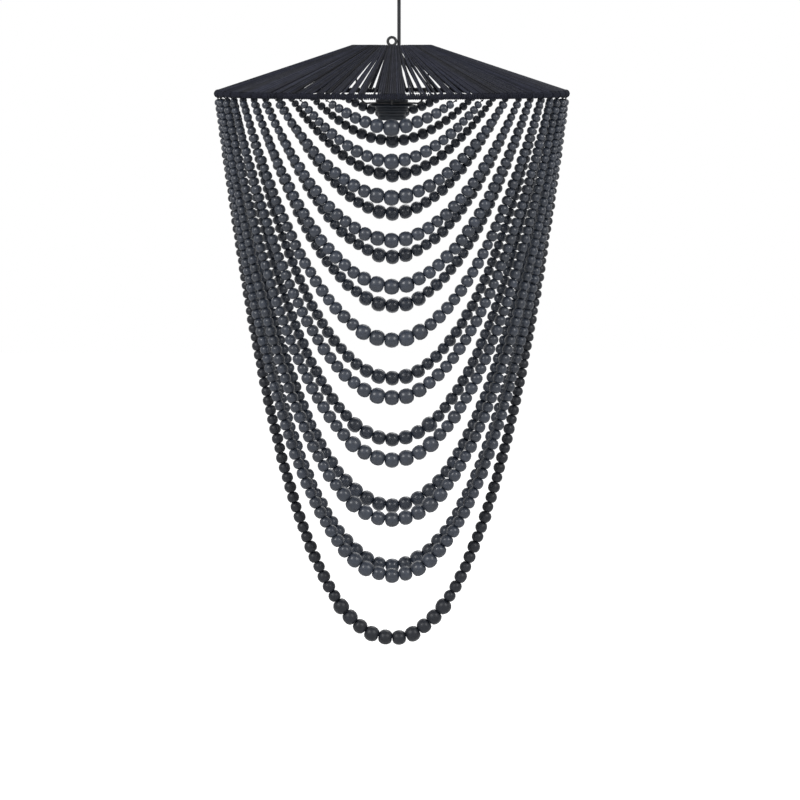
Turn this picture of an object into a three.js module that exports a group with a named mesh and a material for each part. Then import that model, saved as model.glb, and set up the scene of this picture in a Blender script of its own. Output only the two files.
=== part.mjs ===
// A beaded chandelier: a shallow hood strung with black cord between two wire rings, a lampholder
// on a drop spider inside it, and graded wooden beads hung from the lower ring in nested swags.
// Millimetres, +Z up, the front towards -Y. The origin is on the ceiling, over the lamp cord.

import * as THREE from 'three';

// Hood and its two rings, measured over the cord that binds them
const hoodSpan = 500;
const topSpan = 118;
const hoodHeight = 72;
const ringWire = 4;
const bindThickness = 1.3;
const bindSlack = 1.2;
const bundleCount = 24;
const slitWidth = 6;
const slitStartShare = 0.52;
const lowerHookAngle = -130;
const upperHookAngle = 140;
const ribWire = 3.2;
const ribCount = 6;

// Cross bars in the top ring, the eye on them, and the arms that drop to the fitter ring. An arm's
// route is in shares of its run out from the fitter ring and of its rise to the top ring.
const barWire = 3;
const eyeSpan = 15.4;
const eyeWire = 3.4;
const armWire = 2.6;
const armCount = 4;
const armRunShares = [0, 0.34, 0.62, 0.76, 0.88, 0.98, 1, 1];
const armRiseShares = [0, 0, 0.12, 0.31, 0.56, 0.82, 0.93, 1];
const fitterThickness = 1.8;

// Lampholder. Its cap, collar and rings step in or out from the skirt.
const lampTopDrop = 43;
const glandSpan = 9;
const glandHeight = 7;
const glandNutShare = 0.6;
const glandTopShare = 0.8;
const skirtSpan = 40;
const skirtWall = 2.4;
const skirtHeight = 29;
const capStep = 3;
const capTaper = 3;
const capHeight = 33;
const capRound = 4;
const capWall = 2;
const collarStep = 3;
const collarHeight = 3.6;
const fitterStep = 10.5;
const shadeRingStep = 10.5;
const shadeRingRim = 3.5;
const shadeHubStep = 3.25;
const shadeRingHeight = 11.5;
const baseHeight = 7;
const shellSpan = 28.4;
const shellWall = 0.6;
const shellHeight = 19;
const contactSpan = 8;
const contactHeight = 1.5;

// Lamp cord and ceiling rose. The hood hangs to the left of the cord, which passes behind the eye.
// Below the rose its route is in shares of its drop, of its run to the left and of its reach back.
const cordSpan = 5;
const cordOffset = 10;
const cordShown = 80;
const cordBack = 6.2;
const cordDropShares = [0, 0.075, 0.16, 0.258, 0.356, 0.454, 0.551, 0.649, 0.741, 0.826, 0.906, 0.961, 1];
const cordRunShares = [0, 0, 0, 0, 0, 0, 0.01, 0.11, 0.35, 0.68, 0.92, 1, 1];
const cordBackShares = [0, 0, 0.16, 0.52, 0.855, 1, 1, 0.89, 0.645, 0.32, 0.08, 0, 0];
const roseSpan = 80;
const roseDepth = 28;
const roseRound = 8;
const roseWall = 1.2;
const roseTravel = 30;
const gripShank = 10;
const gripFlange = 16;
const gripFlangeHeight = 3;
const gripHeight = 10;
const plateSpan = 64;
const plateWidth = 22;
const plateThickness = 2;
const plateHole = 5.4;
const plateHoleInset = 7;
const anchorSpan = 12;
const anchorDepth = 10;
const terminalReach = 15;
const terminalWidth = 12;
const terminalLength = 18;
const terminalHeight = 9;
const terminalStep = 3;

// Beads and swags. The ties are shares of the quarter turn from the front or back to the side,
// and the drops are shares of the longest drop, tie to lowest bead centre. A bead is measured along
// the string, and it is wider than that by beadFlat.
const longestDrop = 782;
const frontTieShares = [0.226, 0.326, 0.43, 0.492, 0.55, 0.617, 0.689, 0.756, 0.833, 0.917];
const backTieShares = [0.217, 0.342, 0.433, 0.49, 0.56, 0.628, 0.7, 0.772, 0.844, 0.922];
const frontDropShares = [0.046, 0.104, 0.167, 0.242, 0.324, 0.421, 0.528, 0.645, 0.761, 0.873];
const backDropShares = [0.037, 0.09, 0.154, 0.226, 0.306, 0.397, 0.532, 0.644, 0.764, 0.871];
const largeBead = 20;
const middleBead = 17;
const smallBead = 8.8;
const beadFlat = 1.7;
const beadGrade = 1;
const largeBeadShare = 0.08;
const largeBeadLimit = 4;
const beadMixShare = 0.05;
const beadMixStep = 2.1;
const beadWeightPower = 2.4;
const stringSpan = 2;
const stringTail = 3.2;
const neckShare = 0.34;

// Room left between pieces that touch
const gap = 0.3;

// Facets
const wireSides = 4;
const rodSides = 5;
const armSteps = 8;
const cordSides = 6;
const cordSteps = 12;
const straightSteps = 3;
const holeSegments = 4;
const turnSides = 12;
const roundSides = 16;
const ringSides = 20;
const smallSides = 10;
const beadSides = 3;
const beadSpread = 1.1;
const searchSteps = 60;
const stiffestShare = 1e3;
const slackestShare = 1e-9;
const spanSlackShare = 0.005;
const fewestBeads = 3;
const trimShares = [0.8, 1.25];

const finishes = {
  cord: { color: '#1a1b1f', roughness: 0.95, metalness: 0 },
  wire: { color: '#131416', roughness: 0.5, metalness: 0.3 },
  rose: { color: '#17181b', roughness: 0.5, metalness: 0.2 },
  plate: { color: '#9a9c9f', roughness: 0.4, metalness: 1 },
  bead: { color: '#2a2d31', roughness: 0.55, metalness: 0 },
  holder: { color: '#17181b', roughness: 0.45, metalness: 0 },
  brass: { color: '#b08d4a', roughness: 0.3, metalness: 1 },
  ceramic: { color: '#e8e6df', roughness: 0.4, metalness: 0 },
};

const chandelier = new THREE.Group();
const lamp = new THREE.Group();
const hoodTop = -(roseDepth + cordShown);
lamp.position.set(-cordOffset, 0, hoodTop);
chandelier.add(lamp);

function place(parent, name, geometry, finish) {
  const mesh = new THREE.Mesh(facingOut(geometry), new THREE.MeshStandardMaterial(finishes[finish]));
  mesh.name = name;
  parent.add(mesh);
  return mesh;
}

// Turns every face over if the body has its inside out
function facingOut(geometry) {
  const at = geometry.attributes.position;
  const index = geometry.index ? Array.from(geometry.index.array) : [...Array(at.count).keys()];
  const corner = (k) => new THREE.Vector3().fromBufferAttribute(at, index[k]);
  let volume = 0;
  for (let k = 0; k < index.length; k += 3) {
    volume += corner(k).dot(corner(k + 1).cross(corner(k + 2)));
  }
  if (volume < 0) {
    for (let k = 0; k < index.length; k += 3) {
      [index[k], index[k + 1]] = [index[k + 1], index[k]];
    }
  }
  geometry.setIndex(index);
  return geometry;
}

function solid(points, faces) {
  const geometry = new THREE.BufferGeometry().setFromPoints(points);
  geometry.setIndex(faces.flat());
  return geometry;
}

function turned(profile, sides = turnSides) {
  const points = profile.map(([r, z]) => new THREE.Vector2(r, z));
  return new THREE.LatheGeometry(points, sides).rotateX(Math.PI / 2);
}

// A ring of material between two radii and two heights
function collar(inner, outer, low, high, sides = turnSides) {
  return turned([[inner, low], [outer, low], [outer, high], [inner, high], [inner, low]], sides);
}

function rod(from, to, width, sides = rodSides) {
  const length = from.distanceTo(to);
  const geometry = new THREE.CylinderGeometry(width / 2, width / 2, length, sides);
  geometry.translate(0, length / 2, 0);
  const turn = new THREE.Quaternion();
  turn.setFromUnitVectors(new THREE.Vector3(0, 1, 0), to.clone().sub(from).normalize());
  return geometry.applyQuaternion(turn).translate(from.x, from.y, from.z);
}

function tube(points, width, sides, steps) {
  const path = new THREE.CatmullRomCurve3(points);
  const section = new THREE.Shape();
  for (let k = 0; k < sides; k++) {
    const a = (2 * Math.PI * k) / sides;
    const move = k === 0 ? 'moveTo' : 'lineTo';
    section[move]((width / 2) * Math.cos(a), (width / 2) * Math.sin(a));
  }
  return new THREE.ExtrudeGeometry(section, { steps, extrudePath: path });
}

function polar(radius, angle, z) {
  return new THREE.Vector3(radius * Math.cos(angle), radius * Math.sin(angle), z);
}

const degrees = Math.PI / 180;

// Where the two ring wires run
const bound = ringWire / 2 + bindSlack + bindThickness;
const lowerRing = { r: hoodSpan / 2 - bound, z: bound - hoodHeight };
const upperRing = { r: topSpan / 2 - bound, z: -bound };
const slope = Math.atan2(lowerRing.z - upperRing.z, lowerRing.r - upperRing.r);
const slantLength = Math.hypot(lowerRing.r - upperRing.r, lowerRing.z - upperRing.z);
const bundlePitch = (2 * Math.PI) / bundleCount;
const bundleHalf = (bundlePitch - slitWidth / lowerRing.r) / 2;

// The angles of the edges of the bundles round the hood, with a slit between each two
function bundleEdges() {
  const out = [];
  for (let k = 0; k < bundleCount; k++) {
    out.push(k * bundlePitch + bundleHalf, (k + 1) * bundlePitch - bundleHalf);
  }
  return out;
}

// The cord that is wound over both rings, as one skin: it hooks round each wire and spans between
function windingGeometry() {
  const normal = slope + Math.PI / 2;
  const hook = (ring, radius, first, last, count) => {
    const out = [];
    for (let k = 0; k < count; k++) {
      const a = first + ((last - first) * k) / Math.max(count - 1, 1);
      out.push([ring.r + radius * Math.cos(a), ring.z + radius * Math.sin(a)]);
    }
    return out;
  };
  const along = (offset) => [
    upperRing.r + slitStartShare * slantLength * Math.cos(slope) + offset * Math.cos(normal),
    upperRing.z + slitStartShare * slantLength * Math.sin(slope) + offset * Math.sin(normal),
  ];
  const inside = bound - bindThickness;
  const profile = [
    ...hook(upperRing, bound, upperHookAngle * degrees, normal, 2),
    along(bound),
    ...hook(lowerRing, bound, normal, -Math.PI / 2, 3),
    ...hook(lowerRing, bound, lowerHookAngle * degrees, lowerHookAngle * degrees, 1),
    ...hook(lowerRing, inside, lowerHookAngle * degrees, lowerHookAngle * degrees, 1),
    ...hook(lowerRing, inside, -Math.PI / 2, normal, 3),
    along(inside),
    ...hook(upperRing, inside, normal, upperHookAngle * degrees, 2),
  ];
  const outerHigh = 2;
  const outerLow = 3;
  const innerLow = profile.length - 1 - outerLow;
  const innerHigh = profile.length - 1 - outerHigh;
  const angles = bundleEdges();
  const rows = profile.length;
  const points = angles.flatMap((a) => profile.map(([r, z]) => polar(r, a, z)));
  const faces = [];
  const quad = (a, b, c, d) => faces.push([a, b, c], [a, c, d]);
  angles.forEach((angle, i) => {
    const here = i * rows;
    const next = ((i + 1) % angles.length) * rows;
    const open = i % 2 === 0;
    for (let j = 0; j < rows; j++) {
      const k = (j + 1) % rows;
      if (open && (j === outerHigh || j === innerLow)) continue;
      quad(here + j, next + j, next + k, here + k);
    }
    if (!open) return;
    quad(here + outerHigh, next + outerHigh, next + innerHigh, here + innerHigh);
    quad(next + outerLow, here + outerLow, here + innerLow, next + innerLow);
    quad(here + outerLow, here + outerHigh, here + innerHigh, here + innerLow);
    quad(next + outerHigh, next + outerLow, next + innerLow, next + innerHigh);
  });
  return solid(points, faces);
}

function wireRing(ring, angles) {
  const points = [];
  const faces = [];
  angles.forEach((angle, i) => {
    const here = i * wireSides;
    const next = ((i + 1) % angles.length) * wireSides;
    for (let j = 0; j < wireSides; j++) {
      const a = (2 * Math.PI * (j + 0.5)) / wireSides;
      const k = (j + 1) % wireSides;
      const out = (ringWire / 2) * Math.cos(a);
      points.push(polar(ring.r + out, angle, ring.z + (ringWire / 2) * Math.sin(a)));
      faces.push([here + j, next + j, next + k], [here + j, next + k, here + k]);
    }
  });
  return solid(points, faces);
}

function evenAngles(count) {
  return Array.from({ length: count }, (unused, k) => (2 * Math.PI * k) / count);
}

function buildHood() {
  place(lamp, 'hood_winding', windingGeometry(), 'cord');
  place(lamp, 'lower_ring', wireRing(lowerRing, bundleEdges()), 'wire');
  place(lamp, 'upper_ring', wireRing(upperRing, evenAngles(ringSides)), 'wire');
  const out = (ringWire / 2 + gap) * Math.cos(slope);
  const up = (ringWire / 2 + gap) * Math.sin(slope);
  const lowerFlat = lowerRing.r * Math.cos(bundleHalf);
  for (let k = 0; k < ribCount; k++) {
    const a = (2 * Math.PI * k) / ribCount;
    const start = polar(upperRing.r + out, a, upperRing.z + up);
    const end = polar(lowerFlat - out, a, lowerRing.z - up);
    place(lamp, `hood_rib_${k + 1}`, rod(start, end, ribWire), 'wire');
  }
}

// Two bars cross in the top ring and carry the eye; one is cut where it meets the other
function buildBars() {
  const reach = upperRing.r - ringWire / 2 - gap;
  const at = (radius, angle) => polar(radius, angle, upperRing.z);
  const bar = (angle, from, to) => rod(at(from, angle), at(to, angle), barWire);
  place(lamp, 'cross_bar', bar(0, -reach, reach), 'wire');
  const meet = barWire / 2 + gap;
  place(lamp, 'half_bar_front', bar(-Math.PI / 2, meet, reach), 'wire');
  place(lamp, 'half_bar_back', bar(Math.PI / 2, meet, reach), 'wire');
  const eye = new THREE.TorusGeometry((eyeSpan - eyeWire) / 2, eyeWire / 2, rodSides, turnSides);
  eye.rotateX(Math.PI / 2);
  eye.translate(0, 0, upperRing.z + barWire / 2 + gap + eyeSpan / 2);
  place(lamp, 'hanging_eye', eye, 'wire');
}

// Heights in the lampholder, below the top of the hood
const capTop = -lampTopDrop;
const skirtTop = capTop - capHeight - gap;
const collarBottom = skirtTop - collarHeight;
const fitterTop = collarBottom - gap;
const fitterBottom = fitterTop - fitterThickness;
const shadeRingTop = fitterBottom - gap;
const skirtBottom = skirtTop - skirtHeight;

// Radii that step in or out from the skirt's outside
const skirtRadius = skirtSpan / 2;
const capRadius = skirtRadius - capStep;
const neckRadius = capRadius - capTaper;
const collarRadius = skirtRadius + collarStep;
const fitterRadius = skirtRadius + fitterStep;

// Each arm runs out from the fitter ring and turns up to meet the top ring from below
function buildSpider() {
  const bore = skirtRadius + gap;
  place(lamp, 'fitter_ring', collar(bore, fitterRadius, fitterBottom, fitterTop), 'wire');
  const level = (fitterTop + fitterBottom) / 2;
  const start = fitterRadius + gap;
  const run = upperRing.r - start;
  const rise = upperRing.z - ringWire / 2 - gap - level;
  for (let k = 0; k < armCount; k++) {
    const a = (2 * Math.PI * k) / armCount;
    const route = armRunShares.map((share, n) => (
      polar(start + run * share, a, level + rise * armRiseShares[n])
    ));
    place(lamp, `drop_arm_${k + 1}`, tube(route, armWire, wireSides, armSteps), 'wire');
  }
}

function buildLampholder() {
  const neck = glandSpan / 2;
  place(lamp, 'cord_gland', turned([
    [0, capTop + gap], [neck, capTop + gap], [neck, capTop + glandHeight * glandNutShare],
    [neck * glandTopShare, capTop + glandHeight], [0, capTop + glandHeight],
  ], smallSides), 'holder');
  const capBottom = capTop - capHeight;
  const crown = neckRadius - capRound;
  const shoulder = capTop - capRound;
  place(lamp, 'lamp_cap', turned([
    [0, capTop], [crown, capTop], [neckRadius, shoulder], [capRadius, capBottom],
    [capRadius - capWall, capBottom], [neckRadius - capWall, shoulder],
    [crown, capTop - capWall], [0, capTop - capWall],
  ]), 'holder');
  const bore = skirtRadius - skirtWall;
  const lip = skirtWall / 2;
  place(lamp, 'lamp_skirt', turned([
    [bore, skirtTop], [collarRadius, skirtTop], [collarRadius, collarBottom],
    [skirtRadius, collarBottom], [skirtRadius, skirtBottom + lip],
    [skirtRadius - lip, skirtBottom], [bore, skirtBottom], [bore, skirtTop],
  ]), 'holder');
  const ringBore = skirtRadius + gap;
  const flange = skirtRadius + shadeRingStep;
  const hub = skirtRadius + shadeHubStep;
  const rim = shadeRingTop - shadeRingRim;
  place(lamp, 'shade_ring', turned([
    [ringBore, shadeRingTop], [flange, shadeRingTop], [flange, rim],
    [hub, rim], [hub, shadeRingTop - shadeRingHeight],
    [ringBore, shadeRingTop - shadeRingHeight], [ringBore, shadeRingTop],
  ]), 'holder');
  const baseBottom = skirtTop - baseHeight;
  place(lamp, 'contact_base', turned([
    [0, skirtTop], [bore - gap, skirtTop], [bore - gap, baseBottom], [0, baseBottom],
  ]), 'ceramic');
  const shellTop = baseBottom - gap;
  place(lamp, 'screw_shell', collar(
    shellSpan / 2 - shellWall, shellSpan / 2, shellTop - shellHeight, shellTop), 'brass');
  place(lamp, 'centre_contact', turned([
    [0, shellTop], [contactSpan / 2, shellTop], [contactSpan / 2, shellTop - contactHeight],
    [0, shellTop - contactHeight],
  ], smallSides), 'brass');
}

// The cord runs straight down through the rose, over the travel of its cup. Below that it bends back
// behind the eye, passes the cross bars, and comes in to the lampholder on the hood's axis.
function buildCord() {
  const roseEnd = -roseDepth - gripFlangeHeight - roseTravel - 2 * gap;
  const straight = [new THREE.Vector3(0, 0, -anchorDepth - gap), new THREE.Vector3(0, 0, roseEnd)];
  place(chandelier, 'rose_cord', tube(straight, cordSpan, cordSides, straightSteps), 'cord');
  const top = roseEnd - gap;
  const drop = top - (hoodTop + capTop + glandHeight + gap);
  const route = cordDropShares.map((share, k) => new THREE.Vector3(
    -cordOffset * cordRunShares[k], cordBack * cordBackShares[k], top - drop * share));
  place(chandelier, 'lamp_cord', tube(route, cordSpan, cordSides, cordSteps), 'cord');
}

// A block of two poles, each with a raised clamp, seen along the plate
function terminalGeometry() {
  const half = terminalLength / 2;
  const low = -terminalHeight;
  const outline = new THREE.Shape([
    [-half, 0], [half, 0], [half, low + terminalStep], [half - terminalStep, low],
    [terminalStep / 2, low], [0, low + terminalStep], [-terminalStep / 2, low],
    [-half + terminalStep, low], [-half, low + terminalStep],
  ].map(([y, z]) => new THREE.Vector2(y, z)));
  const block = new THREE.ExtrudeGeometry(outline, { depth: terminalWidth, bevelEnabled: false });
  block.rotateX(Math.PI / 2).rotateZ(Math.PI / 2);
  return block.translate(-terminalReach - terminalWidth / 2, 0, -plateThickness - gap);
}

function buildRose() {
  const outer = roseSpan / 2;
  const inner = outer - roseWall;
  const hole = gripShank / 2 + gap;
  const floor = -roseDepth + roseWall;
  place(chandelier, 'rose_cup', turned([
    [inner, 0], [outer, 0], [outer, -roseDepth + roseRound], [outer - roseRound, -roseDepth],
    [hole, -roseDepth], [hole, floor], [outer - roseRound, floor], [inner, floor + roseRound - roseWall],
    [inner, 0],
  ], roundSides), 'rose');
  const bore = cordSpan / 2 + gap;
  const seat = -roseDepth - gap;
  place(chandelier, 'cord_grip', turned([
    [bore, seat - gripFlangeHeight], [gripFlange / 2, seat - gripFlangeHeight], [gripFlange / 2, seat],
    [gripShank / 2, seat], [gripShank / 2, seat - gripFlangeHeight + gripHeight],
    [bore, seat - gripFlangeHeight + gripHeight], [bore, seat - gripFlangeHeight],
  ], smallSides), 'holder');
  const outline = new THREE.Shape();
  outline.moveTo(-plateSpan / 2, -plateWidth / 2);
  outline.lineTo(plateSpan / 2, -plateWidth / 2);
  outline.lineTo(plateSpan / 2, plateWidth / 2);
  outline.lineTo(-plateSpan / 2, plateWidth / 2);
  for (const side of [-1, 1]) {
    const hole = new THREE.Path();
    hole.absarc(side * (plateSpan / 2 - plateHoleInset), 0, plateHole / 2, 0, 2 * Math.PI, true);
    outline.holes.push(hole);
  }
  const plate = new THREE.ExtrudeGeometry(outline, {
    depth: plateThickness, bevelEnabled: false, curveSegments: holeSegments,
  });
  place(chandelier, 'ceiling_plate', plate.translate(0, 0, -plateThickness), 'plate');
  place(chandelier, 'cord_anchor', turned([
    [0, -plateThickness - gap], [anchorSpan / 2, -plateThickness - gap],
    [anchorSpan / 2, -anchorDepth], [0, -anchorDepth],
  ], smallSides), 'holder');
  place(chandelier, 'terminal_block', terminalGeometry(), 'ceramic');
}

// The sizes of one half of a swag's beads, from the lowest up to the tie
function beadSizes(count, scale, phase) {
  const large = Math.min(largeBeadLimit, Math.floor(largeBeadShare * count));
  return Array.from({ length: count + 1 }, (unused, j) => {
    const graded = smallBead + (middleBead - smallBead) * (1 - j / count) ** beadGrade;
    const mix = j === 0 ? 1 : 1 + beadMixShare * Math.sin(beadMixStep * j + phase);
    return scale * mix * (j <= large ? largeBead : graded);
  });
}

// How those beads hang when the string at the bottom pulls sideways with this force. The lowest bead
// hangs in the middle, or a pair of them on both sides of it. The tail is the bare string at the tie.
function hangingChain(sizes, pull, paired, tail) {
  let weight = sizes[0] ** beadWeightPower / (paired ? 1 : 2);
  const at = { x: paired ? sizes[0] / 2 : 0, z: 0 };
  const beads = [{ ...at }];
  const step = (length) => {
    const angle = Math.atan2(weight, pull);
    at.x += length * Math.cos(angle);
    at.z += length * Math.sin(angle);
  };
  for (let j = 1; j < sizes.length; j++) {
    step((sizes[j - 1] + sizes[j]) / 2);
    beads.push({ ...at });
    weight += sizes[j] ** beadWeightPower;
  }
  step(sizes[sizes.length - 1] / 2 + tail);
  return { sizes, beads, tie: at, paired };
}

function bisect(low, high, tooLow, middle) {
  for (let k = 0; k < searchSteps; k++) {
    const m = middle(low, high);
    if (tooLow(m)) low = m;
    else high = m;
  }
  return low;
}

function chainAcross(count, scale, half, phase, paired, tail) {
  const sizes = beadSizes(count, scale, phase);
  const stiffest = stiffestShare * sizes.reduce((sum, d) => sum + d ** beadWeightPower, 0);
  const tooNarrow = (pull) => hangingChain(sizes, pull, paired, tail).tie.x < half;
  const pull = bisect(stiffest * slackestShare, stiffest, tooNarrow, (a, b) => Math.sqrt(a * b));
  return hangingChain(sizes, pull, paired, tail);
}

// Picks the number of beads that comes closest to the drop, then trims their sizes to meet it. A
// shallow swag's string slants under the ring, so it takes a longer tail to clear its beads.
function fitSwag(half, drop, phase, paired) {
  const spans = (chain) => chain.tie.x > half * (1 - spanSlackShare);
  const tail = (stringTail * Math.hypot(half, 2 * drop)) / (2 * drop);
  const across = (n, scale) => chainAcross(n, scale, half, phase, paired, tail);
  let count = fewestBeads;
  while (true) {
    const longer = across(count + 1, 1);
    if (spans(longer) && longer.tie.z > drop) break;
    count++;
  }
  const near = [count, count + 1].map((n) => ({ n, chain: across(n, 1) }));
  const miss = ({ chain }) => (spans(chain) ? Math.abs(chain.tie.z - drop) : Infinity);
  const best = miss(near[0]) < miss(near[1]) ? near[0].n : near[1].n;
  const tooShort = (scale) => {
    const chain = across(best, scale);
    return !spans(chain) || chain.tie.z < drop;
  };
  return across(best, bisect(...trimShares, tooShort, (a, b) => (a + b) / 2));
}

// A share of the way from one place on a swag to another
function between(a, b, share) {
  return { x: a.x + (b.x - a.x) * share, z: a.z + (b.z - a.z) * share };
}

// The rings of points that a swag is skinned over: each bead's middle, and the neck between two beads
function swagRings({ sizes, beads, tie, paired }) {
  const half = beads.map((bead, j) => ({ ...bead, d: sizes[j] }));
  const mirrored = half.slice(paired ? 0 : 1).reverse().map((bead) => ({ ...bead, x: -bead.x }));
  const line = [...mirrored, ...half];
  const end = { z: tie.z, r: stringSpan / 2 };
  const rings = [{ ...end, x: -tie.x }];
  line.forEach((bead, j) => {
    rings.push({ ...bead, r: ((bead.d + beadFlat) / 2) * beadSpread });
    const next = line[j + 1];
    if (!next) return;
    const neck = between(bead, next, bead.d / (bead.d + next.d));
    rings.push({ ...neck, r: (Math.min(bead.d, next.d) / 2) * neckShare });
  });
  rings.push({ ...end, x: tie.x });
  return rings;
}

// One swag as a single body, strung through all of its beads and cut level under the hood
function swagGeometry(chain) {
  const rings = swagRings(chain);
  const points = [];
  const faces = [];
  rings.forEach((ring, k) => {
    const before = rings[Math.max(k - 1, 0)];
    const after = rings[Math.min(k + 1, rings.length - 1)];
    const level = ring === before || ring === after;
    const heading = Math.atan2(after.z - before.z, level ? 0 : after.x - before.x);
    const across = new THREE.Vector3(-Math.sin(heading), 0, Math.cos(heading));
    const here = k * beadSides;
    for (let n = 0; n < beadSides; n++) {
      const a = (2 * Math.PI * n) / beadSides;
      const point = new THREE.Vector3(ring.x, -ring.r * Math.cos(a), ring.z);
      points.push(point.addScaledVector(across, ring.r * Math.sin(a)));
      if (k === 0) continue;
      const next = (n + 1) % beadSides;
      const back = here - beadSides;
      faces.push([back + n, back + next, here + next], [back + n, here + next, here + n]);
    }
  });
  const last = (rings.length - 1) * beadSides;
  faces.push([2, 1, 0], [last, last + 1, last + 2]);
  return solid(points, faces);
}

function hangSwag(name, tieShare, dropShare, facing, phase, paired = false) {
  const tieRadius = lowerRing.r;
  const angle = tieShare * (Math.PI / 2);
  const chain = fitSwag(tieRadius * Math.sin(angle), longestDrop * dropShare, phase, paired);
  const low = -hoodHeight - gap - chain.tie.z;
  const mesh = place(lamp, name, swagGeometry(chain), 'bead');
  mesh.position.set(0, facing * tieRadius * Math.cos(angle), low);
}

function buildSwags() {
  frontTieShares.forEach((share, k) => {
    hangSwag(`swag_front_${String(k + 1).padStart(2, '0')}`, share, frontDropShares[k], -1, k);
  });
  backTieShares.forEach((share, k) => {
    hangSwag(`swag_back_${String(k + 1).padStart(2, '0')}`, share, backDropShares[k], 1, k + 0.5);
  });
  hangSwag('swag_centre', 1, 1, 1, 0, true);
}

buildRose();
buildCord();
buildHood();
buildBars();
buildSpider();
buildLampholder();
buildSwags();

export default chandelier;
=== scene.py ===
"""A beaded chandelier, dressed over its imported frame: the cord-strung hood, the graded wooden
beads on their strings, the lampholder on its drop spider, the lamp cord and the ceiling rose."""

import math
import random

import bpy
import numpy as np
from bpy.props import FloatProperty, FloatVectorProperty, IntProperty, PointerProperty
from mathutils import Matrix, Vector


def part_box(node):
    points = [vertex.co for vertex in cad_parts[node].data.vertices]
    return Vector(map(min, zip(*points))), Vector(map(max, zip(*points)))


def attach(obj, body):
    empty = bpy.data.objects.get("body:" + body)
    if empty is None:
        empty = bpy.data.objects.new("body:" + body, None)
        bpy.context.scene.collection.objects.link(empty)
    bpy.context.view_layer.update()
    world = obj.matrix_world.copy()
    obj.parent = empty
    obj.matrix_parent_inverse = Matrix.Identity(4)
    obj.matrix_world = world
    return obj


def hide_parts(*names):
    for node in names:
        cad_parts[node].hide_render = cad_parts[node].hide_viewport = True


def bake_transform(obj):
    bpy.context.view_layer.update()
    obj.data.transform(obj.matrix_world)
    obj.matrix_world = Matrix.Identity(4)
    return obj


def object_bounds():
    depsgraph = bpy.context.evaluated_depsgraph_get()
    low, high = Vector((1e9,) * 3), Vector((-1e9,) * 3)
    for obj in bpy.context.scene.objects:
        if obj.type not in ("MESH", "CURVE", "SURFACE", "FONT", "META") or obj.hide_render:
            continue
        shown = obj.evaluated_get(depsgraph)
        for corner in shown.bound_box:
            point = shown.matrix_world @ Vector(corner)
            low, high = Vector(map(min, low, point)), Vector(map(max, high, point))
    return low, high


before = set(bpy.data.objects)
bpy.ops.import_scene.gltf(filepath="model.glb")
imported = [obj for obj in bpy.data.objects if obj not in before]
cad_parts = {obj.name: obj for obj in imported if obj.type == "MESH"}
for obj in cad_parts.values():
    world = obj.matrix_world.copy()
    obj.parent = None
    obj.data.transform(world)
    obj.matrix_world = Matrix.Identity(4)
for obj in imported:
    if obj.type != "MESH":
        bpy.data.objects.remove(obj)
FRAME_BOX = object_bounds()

bl_info = {
    "name": "Beaded Chandelier",
    "version": (1, 0, 0),
    "blender": (4, 5, 0),
    "location": "View3D > Sidebar > Chandelier",
    "description": "Builds a pendant with a cord-strung hood and swags of graded wooden beads",
    "category": "Object",
}

MM = 0.001
UP = np.array((0, 0, 1.0))

# The hood's axis, and the box that the lamp cord runs through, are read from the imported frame
WINDING_LOW, WINDING_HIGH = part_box("hood_winding")
AXIS_X = (WINDING_LOW.x + WINDING_HIGH.x) / 2
CORD_LOW, CORD_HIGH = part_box("lamp_cord")

# Ties as shares of the quarter turn from the front or back, drops as shares of the longest drop
FRONT_TIE_SHARES = (0.226, 0.326, 0.43, 0.492, 0.55, 0.617, 0.689, 0.756, 0.833, 0.917)
BACK_TIE_SHARES = (0.217, 0.342, 0.433, 0.49, 0.56, 0.628, 0.7, 0.772, 0.844, 0.922)
FRONT_DROP_SHARES = (0.046, 0.104, 0.167, 0.242, 0.324, 0.421, 0.528, 0.645, 0.761, 0.873)
BACK_DROP_SHARES = (0.037, 0.09, 0.154, 0.226, 0.306, 0.397, 0.532, 0.644, 0.764, 0.871)

# In each half of a swag, this many beads next to the lowest one are as large as it is, but no more
# than this share of the half's beads
LARGE_BEADS = 4
LARGE_SHARE = 0.08

# How much the other beads stray from their grade, and how fast that changes along the swag
MIX_SHARE = 0.05
MIX_STEP = 2.1

# A bead's weight grows with this power of its length, because small beads are wider for their
# length than large ones
WEIGHT_POWER = 2.4

# How far a bead is out of true: its lean in radians, and the rest in shares of its width or length
LEAN = 0.07
WIDTH_SPREAD = 0.03
PLACE_SPREAD = 0.025
DEPTH_SPREAD = 0.02

# How much of its place on the string a bead fills, so that its neighbours don't cut into it
FILL_SHARE = 0.99

# The outline of a bead that is 1 long and 1 wide, from the hollow of its hole to its middle
BEAD_OUTLINE = ((0, 0.45), (0.2, 0.497), (0.345, 0.43), (0.462, 0.235), (0.5, 0))
BEAD_SIDES = 9

# Halvings that find a swag's pull and its beads' scale
HALVINGS = 60

# The lamp cord's route below the rose, in shares of its drop, of its run to the hood's axis and of
# its reach back past the eye
CORD_DROP_SHARES = (
    0, 0.075, 0.16, 0.258, 0.356, 0.454, 0.551, 0.649, 0.741, 0.826, 0.906, 0.961, 1)
CORD_RUN_SHARES = (0, 0, 0, 0, 0, 0, 0.01, 0.11, 0.35, 0.68, 0.92, 1, 1)
CORD_BACK_SHARES = (0, 0, 0.16, 0.52, 0.855, 1, 1, 0.89, 0.645, 0.32, 0.08, 0, 0)

# The spider's arms, in shares of their run out from the fitter ring and of their rise
ARM_RUN_SHARES = (0, 0.34, 0.62, 0.76, 0.88, 0.98, 1, 1)
ARM_RISE_SHARES = (0, 0, 0.12, 0.31, 0.56, 0.82, 0.93, 1)

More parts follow.
